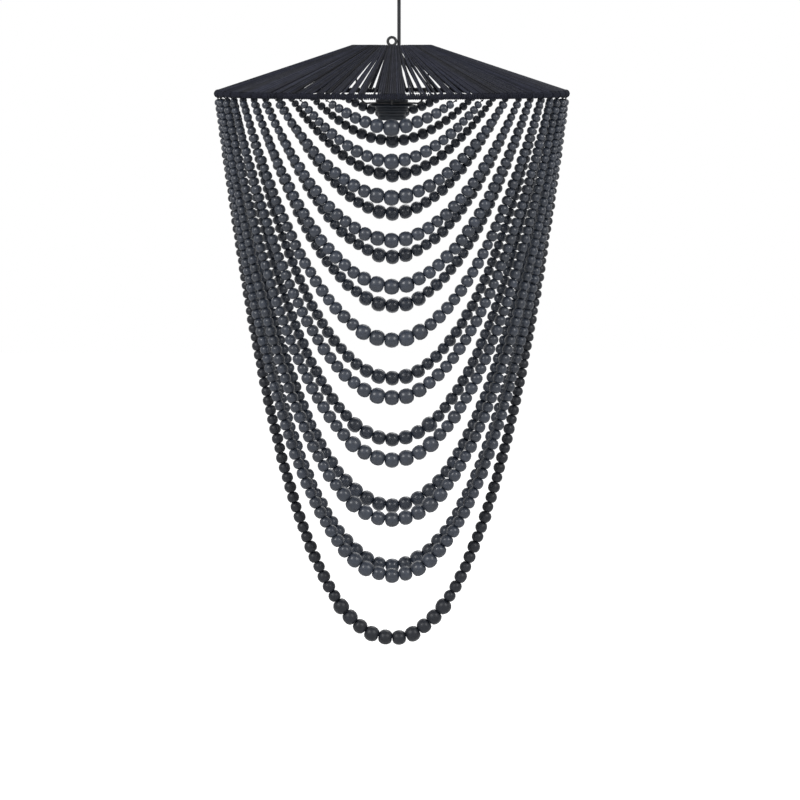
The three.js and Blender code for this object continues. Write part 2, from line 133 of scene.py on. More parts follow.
# Gaps between the cords at the front of the lower ring, in degrees from the front to the right
FRONT_GAPS = (
    (-40.7, -40.1), (-37, -36.3), (-34, -33.4), (-31.6, -30.8), (-28.6, -28.1), (-25.1, -23.7),
    (-21.5, -20.9), (-19.2, -18.8), (-16.2, -15.6), (-14.8, -13.4), (-11.5, -10.2), (-8.06, -5.74),
    (-4.7, -4.3), (4.4, 5.5), (7.1, 8.7), (10.4, 11.7), (12.75, 13.2), (14.3, 15.3), (16.4, 17.3),
    (19.8, 21), (22.6, 24), (25.2, 25.9), (28.3, 28.9), (31.9, 32.5),
)

# Degrees to each side of the back where the wider gaps there begin to close, and where they end
OPEN_BACK = (34, 62)

# At the top ring a cord is drawn down to this share of its width, and the cords lie in layers. They
# hook over the ring at these turns, in degrees from its outside over its top
TOP_WIDTH_SHARE = 0.62
TOP_LAYERS = 3
LAYER_STEP = 0.6 * MM
HOOK_TURNS = (200, 165, 130, 100)

# One rib of a rounded thread: how far back it lies, in shares of the thread's depth, and how far
# down, in shares of its pitch
RIB_OUTLINE = ((1, 0.04), (1, 0.2), (0.2, 0.38), (0, 0.52), (0, 0.7), (0.2, 0.84))

# The hole in the spider's fitter ring and the clamping ring, which slip over the skirt
BARREL_BORE = 20.3 * MM

# The lampholder's cap at its shoulder, as a share of its lip
NECK_SHARE = 28 / 34

# The wave texture draws one band in this length when its scale is 1
WAVE_BAND = math.pi / 10


def hex_colour(text):
    """An sRGB hex colour as Blender's linear values."""
    channels = [int(text[k:k + 2], 16) / 255 for k in (1, 3, 5)]
    return tuple(c / 12.92 if c <= 0.04045 else ((c + 0.055) / 1.055) ** 2.4 for c in channels)


def length(name, default, description):
    """A size of the chandelier, given in millimetres and held in metres."""
    return FloatProperty(
        name=name, default=default * MM, min=0, unit="LENGTH", description=description)


def colour(name, default, description):
    """A colour of the chandelier, given as sRGB hex."""
    return FloatVectorProperty(
        name=name, default=hex_colour(default), size=3, subtype="COLOR", min=0, max=1,
        description=description)


class ChandelierSizes(bpy.types.PropertyGroup):
    """Sizes of the made pieces."""

    hood_cord: length("Hood cord", 3.0, "Width of the cord that is strung over the hood")
    binding_cord: length("Binding cord", 2.4, "Width of the cord bound round the lower ring")
    ring_wire: length("Ring wire", 4.0, "Width of the wire of both rings")
    pair_count: IntProperty(
        name="Pairs", default=130, min=20, description="Pairs of cords round the sides and back")
    rib_wire: length("Rib wire", 3.2, "Width of the wires that hold the rings apart")
    bar_wire: length("Bar wire", 3.0, "Width of the bars in the top ring")
    eye_wire: length("Eye wire", 3.9, "Width of the eye's wire")
    arm_wire: length("Arm wire", 2.6, "Width of the drop spider's arms")
    lamp_cord: length("Lamp cord", 5.0, "Width of the braided lamp cord")
    large_bead: length("Large bead", 20, "Length of the beads at the bottom of a swag")
    middle_bead: length("Middle bead", 17, "Length of the largest graded bead")
    small_bead: length("Small bead", 8.8, "Length of the beads at the ties")
    bead_flat: length("Bead flat", 2.4, "How much wider a bead is than it is long")
    string_tail: length("String tail", 3.2, "Height of bare string from a tie to the first bead")
    string: length("String", 1.5, "Width of the bead string")
    longest_drop: length("Longest drop", 782, "From the ties to the lowest bead of all")


class ChandelierColours(bpy.types.PropertyGroup):
    """Colours of the finishes."""

    # The beads are all of one stain. The back and centre colours are darker copies of the front
    # one: painted shade on the back swags and on the longest swag.
    front_beads: colour("Front beads", "#262c37", "Stained beads of the front swags")
    back_beads: colour("Back beads", "#1e2531", "Stained beads of the back swags")
    centre_beads: colour("Centre beads", "#181b22", "Stained beads of the longest swag")
    hood_cord: colour("Hood cord", "#1e202b", "Cord of the hood, its binding and the strings")
    wire: colour("Wire", "#17181b", "Powder coat on the wire frame and the rose")
    holder: colour("Lampholder", "#19212b", "Moulded plastic of the lampholder")
    flex: colour("Lamp cord", "#26272b", "Braid of the lamp cord")
    brass: colour("Brass", "#b58f4c", "Contacts of the lampholder")
    porcelain: colour("Porcelain", "#e6e3da", "Insulator in the lampholder")
    zinc: colour("Zinc", "#7d8184", "Plate on the ceiling")


# Materials


def add_node(tree, kind, settings=(), inputs=(), ramp=()):
    """Adds a node with its settings, and its inputs given as values or as sockets to link."""
    node = tree.nodes.new(kind)
    for name, value in dict(settings).items():
        setattr(node, name, value)
    for socket, value in dict(inputs).items():
        if isinstance(value, bpy.types.NodeSocket):
            tree.links.new(value, node.inputs[socket])
        else:
            node.inputs[socket].default_value = value
    for k, (place, shade) in enumerate(ramp):
        stops = node.color_ramp.elements
        stop = stops[k] if k < len(stops) else stops.new(place)
        stop.position = place
        stop.color = shade
    return node


def new_finish(name, roughness, **settings):
    """A material with a Principled shader, and its tree and shader to add a pattern to."""
    material = bpy.data.materials.new(name)
    material.use_nodes = True
    tree = material.node_tree
    shader = tree.nodes["Principled BSDF"]
    shader.inputs["Roughness"].default_value = roughness
    for socket, value in settings.items():
        shader.inputs[socket.replace("_", " ")].default_value = value
    return material, tree, shader


def feed(tree, shader, **sockets):
    """Links what a pattern gives to the shader's inputs."""
    for name, socket in sockets.items():
        tree.links.new(socket, shader.inputs[name.replace("_", " ")])


def grey(value):
    return (value, value, value, 1)


def shaded(base, factor):
    """A colour made darker or lighter."""
    return tuple(min(c * factor, 1) for c in base) + (1,)


def wound_wave(tree, strands, width, lay, hand=1):
    """A wave whose crests wind round a cord, each once in every lay. Its UV map is in metres, round
    the cord and then along it."""
    uv = add_node(tree, "ShaderNodeUVMap", {"uv_map": "UVMap"}).outputs["UV"]
    parts = add_node(tree, "ShaderNodeSeparateXYZ", inputs={"Vector": uv})
    around = add_node(tree, "ShaderNodeMath", {"operation": "MULTIPLY"}, {
        0: parts.outputs["X"], 1: hand * strands * 2 / width}).outputs[0]
    turn = add_node(tree, "ShaderNodeMath", {"operation": "MULTIPLY_ADD"}, {
        0: parts.outputs["Y"], 1: strands * 2 * math.pi / lay, 2: around}).outputs[0]
    return add_node(tree, "ShaderNodeMath", {"operation": "SINE"}, {0: turn}).outputs[0]


def add_patches(tree, shader, base, patch, shades, roughness, height, depth, strength):
    """Gives a surface two shades and two roughnesses in the same patches, and a fine relief."""
    tinted = add_node(tree, "ShaderNodeMix", {"data_type": "RGBA"}, {
        0: patch, 6: shaded(base, shades[0]), 7: shaded(base, shades[1])}).outputs[2]
    dullness = add_node(tree, "ShaderNodeMapRange", inputs={
        "Value": patch, "From Min": 0.3, "From Max": 0.7,
        "To Min": roughness[0], "To Max": roughness[1]}).outputs[0]
    relief = add_node(tree, "ShaderNodeBump", inputs={
        "Height": height, "Distance": depth, "Strength": strength}).outputs[0]
    feed(tree, shader, Base_Color=tinted, Roughness=dullness, Normal=relief)


def stained_bead(name, base, wax=1.0):
    """Turned beads of a close hardwood, stained charcoal and waxed. The eye gets a low sheen that
    breaks up along the grain, faint rings left by the turning tool, pale rubs where the stain has
    worn through, and beads that differ a little in shade. The grain and the rings are drawn
    coarser than they are, or they wouldn't show."""
    grain_width = 1.3 * MM
    ring_pitch = 2.77 * MM
    rub_size = 7 * MM
    material, tree, shader = new_finish(
        name, 0.5, Specular_IOR_Level=0.35 * wax, Coat_Weight=0.55 * wax, Coat_Roughness=0.21 / wax)
    place = add_node(tree, "ShaderNodeAttribute", {
        "attribute_name": "bead_place"}).outputs["Vector"]
    tone = add_node(tree, "ShaderNodeAttribute", {"attribute_name": "bead_tone"}).outputs["Fac"]
    along = add_node(tree, "ShaderNodeMapping", inputs={
        "Vector": place, "Scale": (1, 1, 0.2)}).outputs[0]
    grain = add_node(tree, "ShaderNodeTexNoise", inputs={
        "Vector": along, "Scale": 1 / grain_width, "Detail": 3.0, "Roughness": 0.6}).outputs["Fac"]
    blotch = add_node(tree, "ShaderNodeTexNoise", inputs={
        "Vector": place, "Scale": 1 / rub_size, "Detail": 3.0}).outputs["Fac"]
    rings = add_node(tree, "ShaderNodeTexWave", {"bands_direction": "Z"}, {
        "Vector": place, "Scale": WAVE_BAND / ring_pitch, "Distortion": 1.2,
        "Detail": 1.0}).outputs["Fac"]
    streaks = add_node(tree, "ShaderNodeValToRGB", inputs={"Fac": grain}, ramp=[
        (0.3, shaded(base, 0.66)), (0.5, shaded(base, 1.0)), (0.74, shaded(base, 1.45))]).outputs[0]
    rubbed = add_node(tree, "ShaderNodeMapRange", inputs={
        "Value": blotch, "From Min": 0.56, "From Max": 0.74, "To Max": 0.5}).outputs[0]
    worn = add_node(tree, "ShaderNodeMix", {"data_type": "RGBA"}, {
        0: rubbed, 6: streaks, 7: shaded(base, 1.9)}).outputs[2]
    value = add_node(tree, "ShaderNodeMapRange", inputs={
        "Value": tone, "To Min": 0.82, "To Max": 1.22}).outputs[0]
    toned = add_node(tree, "ShaderNodeHueSaturation", inputs={
        "Color": worn, "Value": value}).outputs[0]
    dullness = add_node(tree, "ShaderNodeMapRange", inputs={
        "Value": grain, "From Min": 0.3, "From Max": 0.7,
        "To Min": 0.6, "To Max": 0.42}).outputs[0]
    turned_rings = add_node(tree, "ShaderNodeBump", inputs={
        "Height": rings, "Distance": 0.05 * MM, "Strength": 0.35}).outputs[0]
    relief = add_node(tree, "ShaderNodeBump", inputs={
        "Height": grain, "Distance": 0.12 * MM, "Strength": 0.5,
        "Normal": turned_rings}).outputs[0]
    feed(tree, shader, Base_Color=toned, Roughness=dullness, Normal=relief)
    return material


def twisted_cord(name, base, width, lay=6.0 * MM):
    """Waxed cotton cord laid up from three plies. The eye gets slanting plies with a painted
    highlight on their crests and painted shade in the lines between them, stray fibres, and
    lengths that are greyer where dust has settled. The fibres are drawn coarser than they are,
    or they wouldn't show."""
    plies = 3
    fibre_width = 0.9 * MM
    dust_size = 16 * MM
    material, tree, shader = new_finish(name, 0.9, Specular_IOR_Level=0.25)
    wave = wound_wave(tree, plies, width, lay)
    ply = add_node(tree, "ShaderNodeMapRange", {"interpolation_type": "SMOOTHSTEP"}, {
        "Value": wave, "From Min": -1.0, "From Max": 0.6}).outputs[0]
    place = add_node(tree, "ShaderNodeTexCoord").outputs["Object"]
    fibre = add_node(tree, "ShaderNodeTexNoise", inputs={
        "Vector": place, "Scale": 1 / fibre_width, "Detail": 3.0}).outputs["Fac"]
    patch = add_node(tree, "ShaderNodeTexNoise", inputs={
        "Vector": place, "Scale": 1 / dust_size, "Detail": 2.0}).outputs["Fac"]
    # The plies' crests are painted lighter and the lines between them painted darker: painted light
    # and shade.
    laid = add_node(tree, "ShaderNodeMix", {"data_type": "RGBA"}, {
        0: ply, 6: shaded(base, 0.4), 7: shaded(base, 1.15)}).outputs[2]
    fluff = add_node(tree, "ShaderNodeMapRange", inputs={
        "Value": fibre, "From Min": 0.5, "From Max": 0.75, "To Max": 0.5}).outputs[0]
    fibred_ply_shade = add_node(tree, "ShaderNodeMix", {"data_type": "RGBA"}, {
        0: fluff, 6: laid, 7: shaded(base, 2.2)}).outputs[2]
    tone = add_node(tree, "ShaderNodeAttribute", {"attribute_name": "strand_tone"}).outputs["Fac"]
    aged = add_node(tree, "ShaderNodeMapRange", inputs={
        "Value": patch, "From Min": 0.3, "From Max": 0.7,
        "To Min": 0.75, "To Max": 1.25}).outputs[0]
    dyed = add_node(tree, "ShaderNodeMapRange", inputs={
        "Value": tone, "To Min": 0.35, "To Max": 1.65}).outputs[0]
    value = add_node(tree, "ShaderNodeMath", {"operation": "MULTIPLY"}, {
        0: aged, 1: dyed}).outputs[0]
    toned = add_node(tree, "ShaderNodeHueSaturation", inputs={
        "Color": fibred_ply_shade, "Value": value}).outputs[0]
    twist = add_node(tree, "ShaderNodeBump", inputs={
        "Height": ply, "Distance": 0.35 * MM, "Strength": 0.8}).outputs[0]
    relief = add_node(tree, "ShaderNodeBump", inputs={
        "Height": fibre, "Distance": 0.12 * MM, "Strength": 0.5, "Normal": twist}).outputs[0]
    feed(tree, shader, Base_Color=toned, Normal=relief)
    return material


def braided_sleeve(name, base, width):
    """Round flex in a woven cotton sleeve. The eye gets two sets of slanting yarns that cross over
    and under each other, with a painted highlight on the crests and painted shade in the pits
    where they cross."""
    yarns = 8
    lay = 9 * MM
    material, tree, shader = new_finish(name, 0.8, Sheen_Weight=0.15)
    over = add_node(tree, "ShaderNodeMath", {"operation": "MAXIMUM"}, {
        0: wound_wave(tree, yarns, width, lay, -1), 1: wound_wave(tree, yarns, width, lay)})
    yarn = add_node(tree, "ShaderNodeMapRange", inputs={
        "Value": over.outputs[0], "From Min": -0.6}).outputs[0]
    # Crests painted lighter and pits painted darker: painted light and shade.
    woven = add_node(tree, "ShaderNodeMix", {"data_type": "RGBA"}, {
        0: yarn, 6: shaded(base, 0.45), 7: shaded(base, 1.5)}).outputs[2]
    relief = add_node(tree, "ShaderNodeBump", inputs={
        "Height": yarn, "Distance": 0.25 * MM, "Strength": 0.7}).outputs[0]
    feed(tree, shader, Base_Color=woven, Normal=relief)
    return material


def powder_coat(name, base):
    """Steel in a black powder coat. The eye gets a satin black with fine orange peel, and a greyer
    film of dust in patches."""
    peel_size = 0.8 * MM
    dust_size = 11 * MM
    material, tree, shader = new_finish(name, 0.42)
    place = add_node(tree, "ShaderNodeTexCoord").outputs["Object"]
    peel = add_node(tree, "ShaderNodeTexNoise", inputs={
        "Vector": place, "Scale": 1 / peel_size, "Detail": 2.0}).outputs["Fac"]
    dust = add_node(tree, "ShaderNodeTexNoise", inputs={
        "Vector": place, "Scale": 1 / dust_size, "Detail": 4.0}).outputs["Fac"]
    add_patches(tree, shader, base, dust, (0.75, 1.4), (0.36, 0.54), peel, 0.05 * MM, 0.5)
    return material


def moulded(name, base, roughness, haze_size=6 * MM):
    """A moulded or glazed surface. The eye gets an even colour and a gloss that handling has dulled
    in patches."""
    material, tree, shader = new_finish(name, roughness)
    place = add_node(tree, "ShaderNodeTexCoord").outputs["Object"]
    haze = add_node(tree, "ShaderNodeTexNoise", inputs={
        "Vector": place, "Scale": 1 / haze_size, "Detail": 5.0, "Roughness": 0.65}).outputs["Fac"]
    add_patches(tree, shader, base, haze, (0.82, 1.15), (roughness - 0.08, roughness + 0.12),
                haze, 0.04 * MM, 0.4)
    return material


def worked_metal(name, base, roughness):
    """Pressed sheet metal. The eye gets the faint lines of the rolling mill and a sheen that is
    patchy where it has been handled. The lines are drawn coarser than they are, or they wouldn't
    show."""
    line_width = 0.5 * MM
    patch_size = 7 * MM
    material, tree, shader = new_finish(name, roughness, Metallic=1.0)
    place = add_node(tree, "ShaderNodeTexCoord").outputs["Object"]
    rolled = add_node(tree, "ShaderNodeMapping", inputs={
        "Vector": place, "Scale": (0.08, 1, 1)}).outputs[0]
    lines = add_node(tree, "ShaderNodeTexNoise", inputs={
        "Vector": rolled, "Scale": 1 / line_width, "Detail": 2.0}).outputs["Fac"]
    patch = add_node(tree, "ShaderNodeTexNoise", inputs={
        "Vector": place, "Scale": 1 / patch_size, "Detail": 4.0}).outputs["Fac"]
    add_patches(tree, shader, base, patch, (0.75, 1.1), (roughness - 0.08, roughness + 0.15),
                lines, 0.03 * MM, 0.4)
    return material


def finish(name):
    """The named finish, made the first time that it is asked for."""
    if name in bpy.data.materials:
        return bpy.data.materials[name]
    size = sizes()
    colours = bpy.context.scene.chandelier_colours
    makers = {
        # The back and the longest swags take darker copies of the front beads' stain, as painted
        # shade, and the longest a duller coat as well.
        "stained_beads_front": lambda: stained_bead(name, colours.front_beads),
        "stained_beads_back": lambda: stained_bead(name, colours.back_beads),
        "stained_beads_centre": lambda: stained_bead(name, colours.centre_beads, wax=0.6),
        "twisted_hood_cord": lambda: twisted_cord(name, colours.hood_cord, size.hood_cord),
        "bead_string": lambda: twisted_cord(name, colours.hood_cord, size.string, lay=2.4 * MM),
        "braided_flex": lambda: braided_sleeve(name, colours.flex, size.lamp_cord),
        "powder_coated_wire": lambda: powder_coat(name, colours.wire),
        "moulded_phenolic": lambda: moulded(name, colours.holder, 0.36),
        "moulded_nylon": lambda: moulded(name, colours.porcelain, 0.45),
        "glazed_porcelain": lambda: moulded(name, colours.porcelain, 0.22, 9 * MM),
        "pressed_brass": lambda: worked_metal(name, colours.brass, 0.28),
        "zinc_plate": lambda: worked_metal(name, colours.zinc, 0.46),
    }
    return makers[name]()


# Making and finishing pieces


def sizes():
    return bpy.context.scene.chandelier_sizes


def deselect():
    if bpy.context.object and bpy.context.object.mode != "OBJECT":
        bpy.ops.object.mode_set(mode="OBJECT")
    bpy.ops.object.select_all(action="DESELECT")


def pick(piece):
    """Makes one object the only one selected, and active."""
    deselect()
    piece.select_set(True)
    bpy.context.view_layer.objects.active = piece


def settle(piece):
    """Moves a piece's place, turn and scale into its mesh."""
    pick(piece)
    bpy.ops.object.transform_apply(location=True, rotation=True, scale=True)
    return piece


def soften(piece, width):
    """Rounds off a piece's sharp edges."""
    pick(piece)
    bevel = piece.modifiers.new("Bevel", "BEVEL")
    bevel.width = width
    bevel.segments = 2
    bevel.limit_method = "ANGLE"
    bpy.ops.object.modifier_apply(modifier=bevel.name)
    return piece


def dress(piece, name, body, finish_name, slot, replaces=(), angle=40):
    """Names and smooths a finished piece, gives it its finish, and hangs it on its body."""
    settle(piece)
    piece.name = name
    piece.data.name = name
    piece.data.materials.clear()
    piece.data.materials.append(finish(finish_name))
    bpy.ops.object.shade_smooth_by_angle(angle=math.radians(angle))
    if body:
        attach(piece, body)
    if replaces:
        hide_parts(*replaces)
    return piece


def new_piece(points, faces=(), edges=()):
    mesh = bpy.data.meshes.new("piece")
    mesh.from_pydata([tuple(p) for p in points], list(edges), [tuple(f) for f in faces])
    piece = bpy.data.objects.new("piece", mesh)
    bpy.context.scene.collection.objects.link(piece)
    return piece


def tidy_normals(piece):
    """Merges doubles and turns every face outwards."""
    pick(piece)
    bpy.ops.object.mode_set(mode="EDIT")
    bpy.ops.mesh.select_all(action="SELECT")
    bpy.ops.mesh.remove_doubles(threshold=0.001 * MM)
    bpy.ops.mesh.normals_make_consistent(inside=False)
    bpy.ops.object.mode_set(mode="OBJECT")
    return piece


def softened_copy(node, width):
    """A CAD node's own shape, with its sharp edges rounded off."""
    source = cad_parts[node].data
    piece = new_piece([v.co for v in source.vertices], [tuple(p.vertices) for p in source.polygons])
    return soften(tidy_normals(piece), width)


def spun(profile, steps=48, axis_x=AXIS_X):
    """Spins a profile of (radius, height) about an upright axis. It closes on itself or on the
    axis."""
    points = [(axis_x + r, 0, z) for r, z in profile]
    closed = profile[0] == profile[-1]
    if closed:
        points = points[:-1]
    edges = [(k, k + 1) for k in range(len(points) - 1)]
    if closed:
        edges.append((len(points) - 1, 0))
    piece = new_piece(points, edges=edges)
    pick(piece)
    bpy.ops.object.mode_set(mode="EDIT")
    bpy.ops.mesh.select_all(action="SELECT")
    bpy.ops.mesh.spin(steps=steps, angle=2 * math.pi, center=(axis_x, 0, 0), axis=(0, 0, 1))
    bpy.ops.object.mode_set(mode="OBJECT")
    return tidy_normals(piece)


def turned(node):
    """The radius, bottom and top of a turned node."""
    low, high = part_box(node)
    return (high.y - low.y) / 2, low.z, high.z


def rounded(corners, radius, steps=3):
    """A profile with its inner corners rounded off, each by no more than its edges let it."""
    most = 0.45
    out = [corners[0]]
    for before, corner, after in zip(corners, corners[1:], corners[2:]):
        here = Vector(corner)
        back = Vector(before) - here
        on = Vector(after) - here
        reach = min(radius, back.length * most, on.length * most)
        start = here + back.normalized() * reach
        end = here + on.normalized() * reach
        for k in range(steps + 1):
            t = k / steps
            out.append(tuple((1 - t) ** 2 * start + 2 * t * (1 - t) * here + t ** 2 * end))
    out.append(corners[-1])
    return out


def thread(radius, top, bottom, pitch, depth):
    """The outline of a rounded thread, drawn as a row of ribs down a barrel."""
    count = max(round((top - bottom) / pitch), 1)
    step = (top - bottom) / count
    return [(radius - back * depth, top - (k + down) * step)
            for k in range(count) for back, down in RIB_OUTLINE]


def smooth_route(points, spacing):
    """Points every so far along a centripetal curve through a few places."""
    places = [np.array(p, float) for p in points]
    places = [2 * places[0] - places[1]] + places + [2 * places[-1] - places[-2]]
    out = []
    for a, b, c, d in zip(places, places[1:], places[2:], places[3:]):
        t1 = np.linalg.norm(b - a) ** 0.5
        t2 = t1 + np.linalg.norm(c - b) ** 0.5
        t3 = t2 + np.linalg.norm(d - c) ** 0.5
        count = max(int(round(np.linalg.norm(c - b) / spacing)), 1)
        for t in np.linspace(t1, t2, count, endpoint=False):
            ab = (t1 - t) / t1 * a + t / t1 * b
            bc = (t2 - t) / (t2 - t1) * b + (t - t1) / (t2 - t1) * c
            cd = (t3 - t) / (t3 - t2) * c + (t - t2) / (t3 - t2) * d
            abc = (t2 - t) / t2 * ab + t / t2 * bc
            bcd = (t3 - t) / (t3 - t1) * bc + (t - t1) / (t3 - t1) * cd
            out.append((t2 - t) / (t2 - t1) * abc + (t - t1) / (t2 - t1) * bcd)
    out.append(places[-2])
    return np.array(out)


class Strands:
    """Collects tubes swept along routes into one mesh. Its UV map is in metres, round and then
    along, and its strand_tone tells one strand's shade from another's."""

    def __init__(self):
        self.points = []
        self.tones = []
        self.faces = []
        self.uvs = []
        self.count = 0

    def add(self, route, width, sides=6, normal=None, closed=False, offset=0.0, tone=0.5):
        """Sweeps a tube along a route. Its first side faces the normal, which is one for the whole
        route or one for each point. With none given, it doesn't twist. The offset is where the
        pattern along it starts."""
        route = np.asarray(route, float)
        if closed:
            ahead = np.roll(route, -1, 0) - np.roll(route, 1, 0)
        else:
            ahead = np.gradient(route, axis=0)
        ahead /= np.linalg.norm(ahead, axis=1)[:, None]
        out = self.first_sides(ahead, normal)
        side = np.cross(ahead, out)
        turn = 2 * np.pi * np.arange(sides) / sides
        ring = (np.cos(turn)[None, :, None] * out[:, None]
                + np.sin(turn)[None, :, None] * side[:, None])
        radius = np.broadcast_to(np.asarray(width, float) / 2, len(route))
        self.points.append((route[:, None] + radius[:, None, None] * ring).reshape(-1, 3))
        self.tones.append(np.full(len(route) * sides, tone))
        steps = np.linalg.norm(np.diff(route, axis=0), axis=1)
        along = np.concatenate([[0], np.cumsum(steps)]) + offset
        self.add_walls(radius, along, sides, closed)
        if not closed:
            last = self.count + (len(route) - 1) * sides
            self.faces.append(tuple(self.count + j for j in reversed(range(sides))))
            self.faces.append(tuple(last + j for j in range(sides)))
            self.uvs += [(0, along[0])] * sides + [(0, along[-1])] * sides
        self.count += len(route) * sides

    def first_sides(self, ahead, normal):
        """The direction from each point of a route to the first side of its tube."""
        if normal is None:
            out = [np.cross(ahead[0], (0.31, 0.17, 0.93))]
            for t in ahead[1:]:
                out.append(out[-1] - t * np.dot(out[-1], t))
            out = np.array(out)
        else:
            out = np.broadcast_to(np.asarray(normal, float), ahead.shape)
            out = out - ahead * np.sum(out * ahead, 1)[:, None]
        return out / np.linalg.norm(out, axis=1)[:, None]

    def add_walls(self, radius, along, sides, closed):
        """The faces between one ring of points and the next, with their places on the UV map."""
        rings = len(radius)
        for i in range(rings if closed else rings - 1):
            here = self.count + i * sides
            there = self.count + (i + 1) % rings * sides
            low = along[i]
            high = along[i + 1] if i + 1 < rings else low + (along[1] - along[0])
            for j in range(sides):
                k = (j + 1) % sides
                self.faces.append((here + j, here + k, there + k, there + j))
                left = 2 * math.pi * radius[i] * j / sides
                right = 2 * math.pi * radius[i] * (j + 1) / sides
                self.uvs += [(left, low), (right, low), (right, high), (left, high)]

    def piece(self):
        piece = new_piece(np.concatenate(self.points), self.faces)
        layer = piece.data.uv_layers.new(name="UVMap")
        layer.data.foreach_set("uv", np.array(self.uvs, np.float32).ravel())
        tone = piece.data.attributes.new("strand_tone", "FLOAT", "POINT")
        tone.data.foreach_set("value", np.concatenate(self.tones).astype(np.float32))
        return piece


def reaches(node):
    """How far each point of a node is from the hood's axis."""
    at = np.array([v.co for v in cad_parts[node].data.vertices])
    return np.hypot(at[:, 0] - AXIS_X, at[:, 1])


def ring_of(node):
    """The radius and height of the middle of a ring's wire."""
    reach = reaches(node)
    low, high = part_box(node)
    return (reach.min() + reach.max()) / 2, (low.z + high.z) / 2


LOWER_R, LOWER_Z = ring_of("lower_ring")
UPPER_R, UPPER_Z = ring_of("upper_ring")
SLOPE = math.atan2(LOWER_Z - UPPER_Z, LOWER_R - UPPER_R)

# From the middle of a ring's wire to the outside of the cord on it, and the hood's top
BOUND = reaches("hood_winding").max() - LOWER_R
TOP = UPPER_Z + BOUND

# The strings leave their knots this far under the bound ring
TIE_Z = LOWER_Z - BOUND - 0.3 * MM


def outward(angle):
    """The direction away from the hood's axis. Angle 0 is the front, and it grows to the right."""
    return np.array((math.sin(angle), -math.cos(angle), 0.0))


def at_angle(radius, angle, z):
    """A place round the hood."""
    return (AXIS_X + radius * math.sin(angle), -radius * math.cos(angle), z)


def round_wire(radius, height, reach, turn, angle):
    """A place round the wire of a ring of the hood, by its turn from the ring's outside over its
    top."""
    return at_angle(radius + reach * math.cos(turn), angle, height + reach * math.sin(turn))


def even_angles(count):
    """Angles spread evenly round the hood, from its right side."""
    return [math.pi / 2 + 2 * math.pi * k / count for k in range(count)]


# The swags


def bead_sizes(count, scale, phase):
    """The lengths of one half of a swag's beads, from the lowest bead up."""
    s = sizes()
    large = min(LARGE_BEADS, int(LARGE_SHARE * count))
    out = []
    for j in range(count + 1):
        graded = s.small_bead + (s.middle_bead - s.small_bead) * (1 - j / count)
        mix = 1 if j == 0 else 1 + MIX_SHARE * math.sin(MIX_STEP * j + phase)
        out.append(scale * mix * (s.large_bead if j <= large else graded))
    return out


def hanging_chain(lengths, pull, paired, tail):
    """Where the beads hang when the string at the bottom pulls sideways with this force."""
    weight = lengths[0] ** WEIGHT_POWER / (1 if paired else 2)
    x = lengths[0] / 2 if paired else 0.0
    z = 0.0
    beads = [(x, z)]
    steps = [(a + b) / 2 for a, b in zip(lengths, lengths[1:])] + [lengths[-1] / 2 + tail]
    for j, step in enumerate(steps):
        angle = math.atan2(weight, pull)
        x += step * math.cos(angle)
        z += step * math.sin(angle)
        if j + 1 < len(lengths):
            beads.append((x, z))
            weight += lengths[j + 1] ** WEIGHT_POWER
    return lengths, beads, (x, z)


def chain_across(count, scale, half, phase, paired, tail):
    """The chain with this many beads that reaches sideways to its tie."""
    lengths = bead_sizes(count, scale, phase)
    high = 1e3 * sum(d ** WEIGHT_POWER for d in lengths)
    low = high * 1e-9
    for _ in range(HALVINGS):
        pull = math.sqrt(low * high)
        if hanging_chain(lengths, pull, paired, tail)[2][0] < half:
            low = pull
        else:
            high = pull
    return hanging_chain(lengths, low, paired, tail)


def fit_swag(half, drop, phase, paired):
    """The number of beads nearest to the drop, with their sizes trimmed to meet it."""
    tail = sizes().string_tail * math.hypot(half, 2 * drop) / (2 * drop)

    def spans(chain):
        return chain[2][0] > half * 0.995

    def miss(n):
        chain = chain_across(n, 1, half, phase, paired, tail)
        return abs(chain[2][1] - drop) if spans(chain) else math.inf

    count = 3
    while True:
        longer = chain_across(count + 1, 1, half, phase, paired, tail)
        if spans(longer) and longer[2][1] > drop:
            break
        count += 1
    best = count if miss(count) < miss(count + 1) else count + 1
    low, high = 0.8, 1.25
    for _ in range(HALVINGS):
        scale = (low + high) / 2
        chain = chain_across(best, scale, half, phase, paired, tail)
        if not spans(chain) or chain[2][1] < drop:
            low = scale
        else:
            high = scale
    return chain_across(best, low, half, phase, paired, tail)


def model_bead():
    """One turned bead along Z, 1 long and 1 wide, with its drilled ends drawn in."""
    rows = 2 * (len(BEAD_OUTLINE) - 1)
    deselect()
    bpy.ops.mesh.primitive_uv_sphere_add(segments=BEAD_SIDES, ring_count=rows, radius=0.5)
    bead = bpy.context.object
    for vertex in bead.data.vertices:
        rise = math.asin(max(-1, min(1, vertex.co.z / 0.5)))
        reach, height = BEAD_OUTLINE[round((math.pi / 2 - abs(rise)) / (math.pi / rows))]
        turn = math.atan2(vertex.co.y, vertex.co.x)
        side = math.copysign(1, vertex.co.z)
        vertex.co = (reach * math.cos(turn), reach * math.sin(turn), side * height)
    points = np.array([v.co for v in bead.data.vertices])
    faces = [tuple(p.vertices) for p in bead.data.polygons]
    bpy.data.objects.remove(bead)
    return points, faces


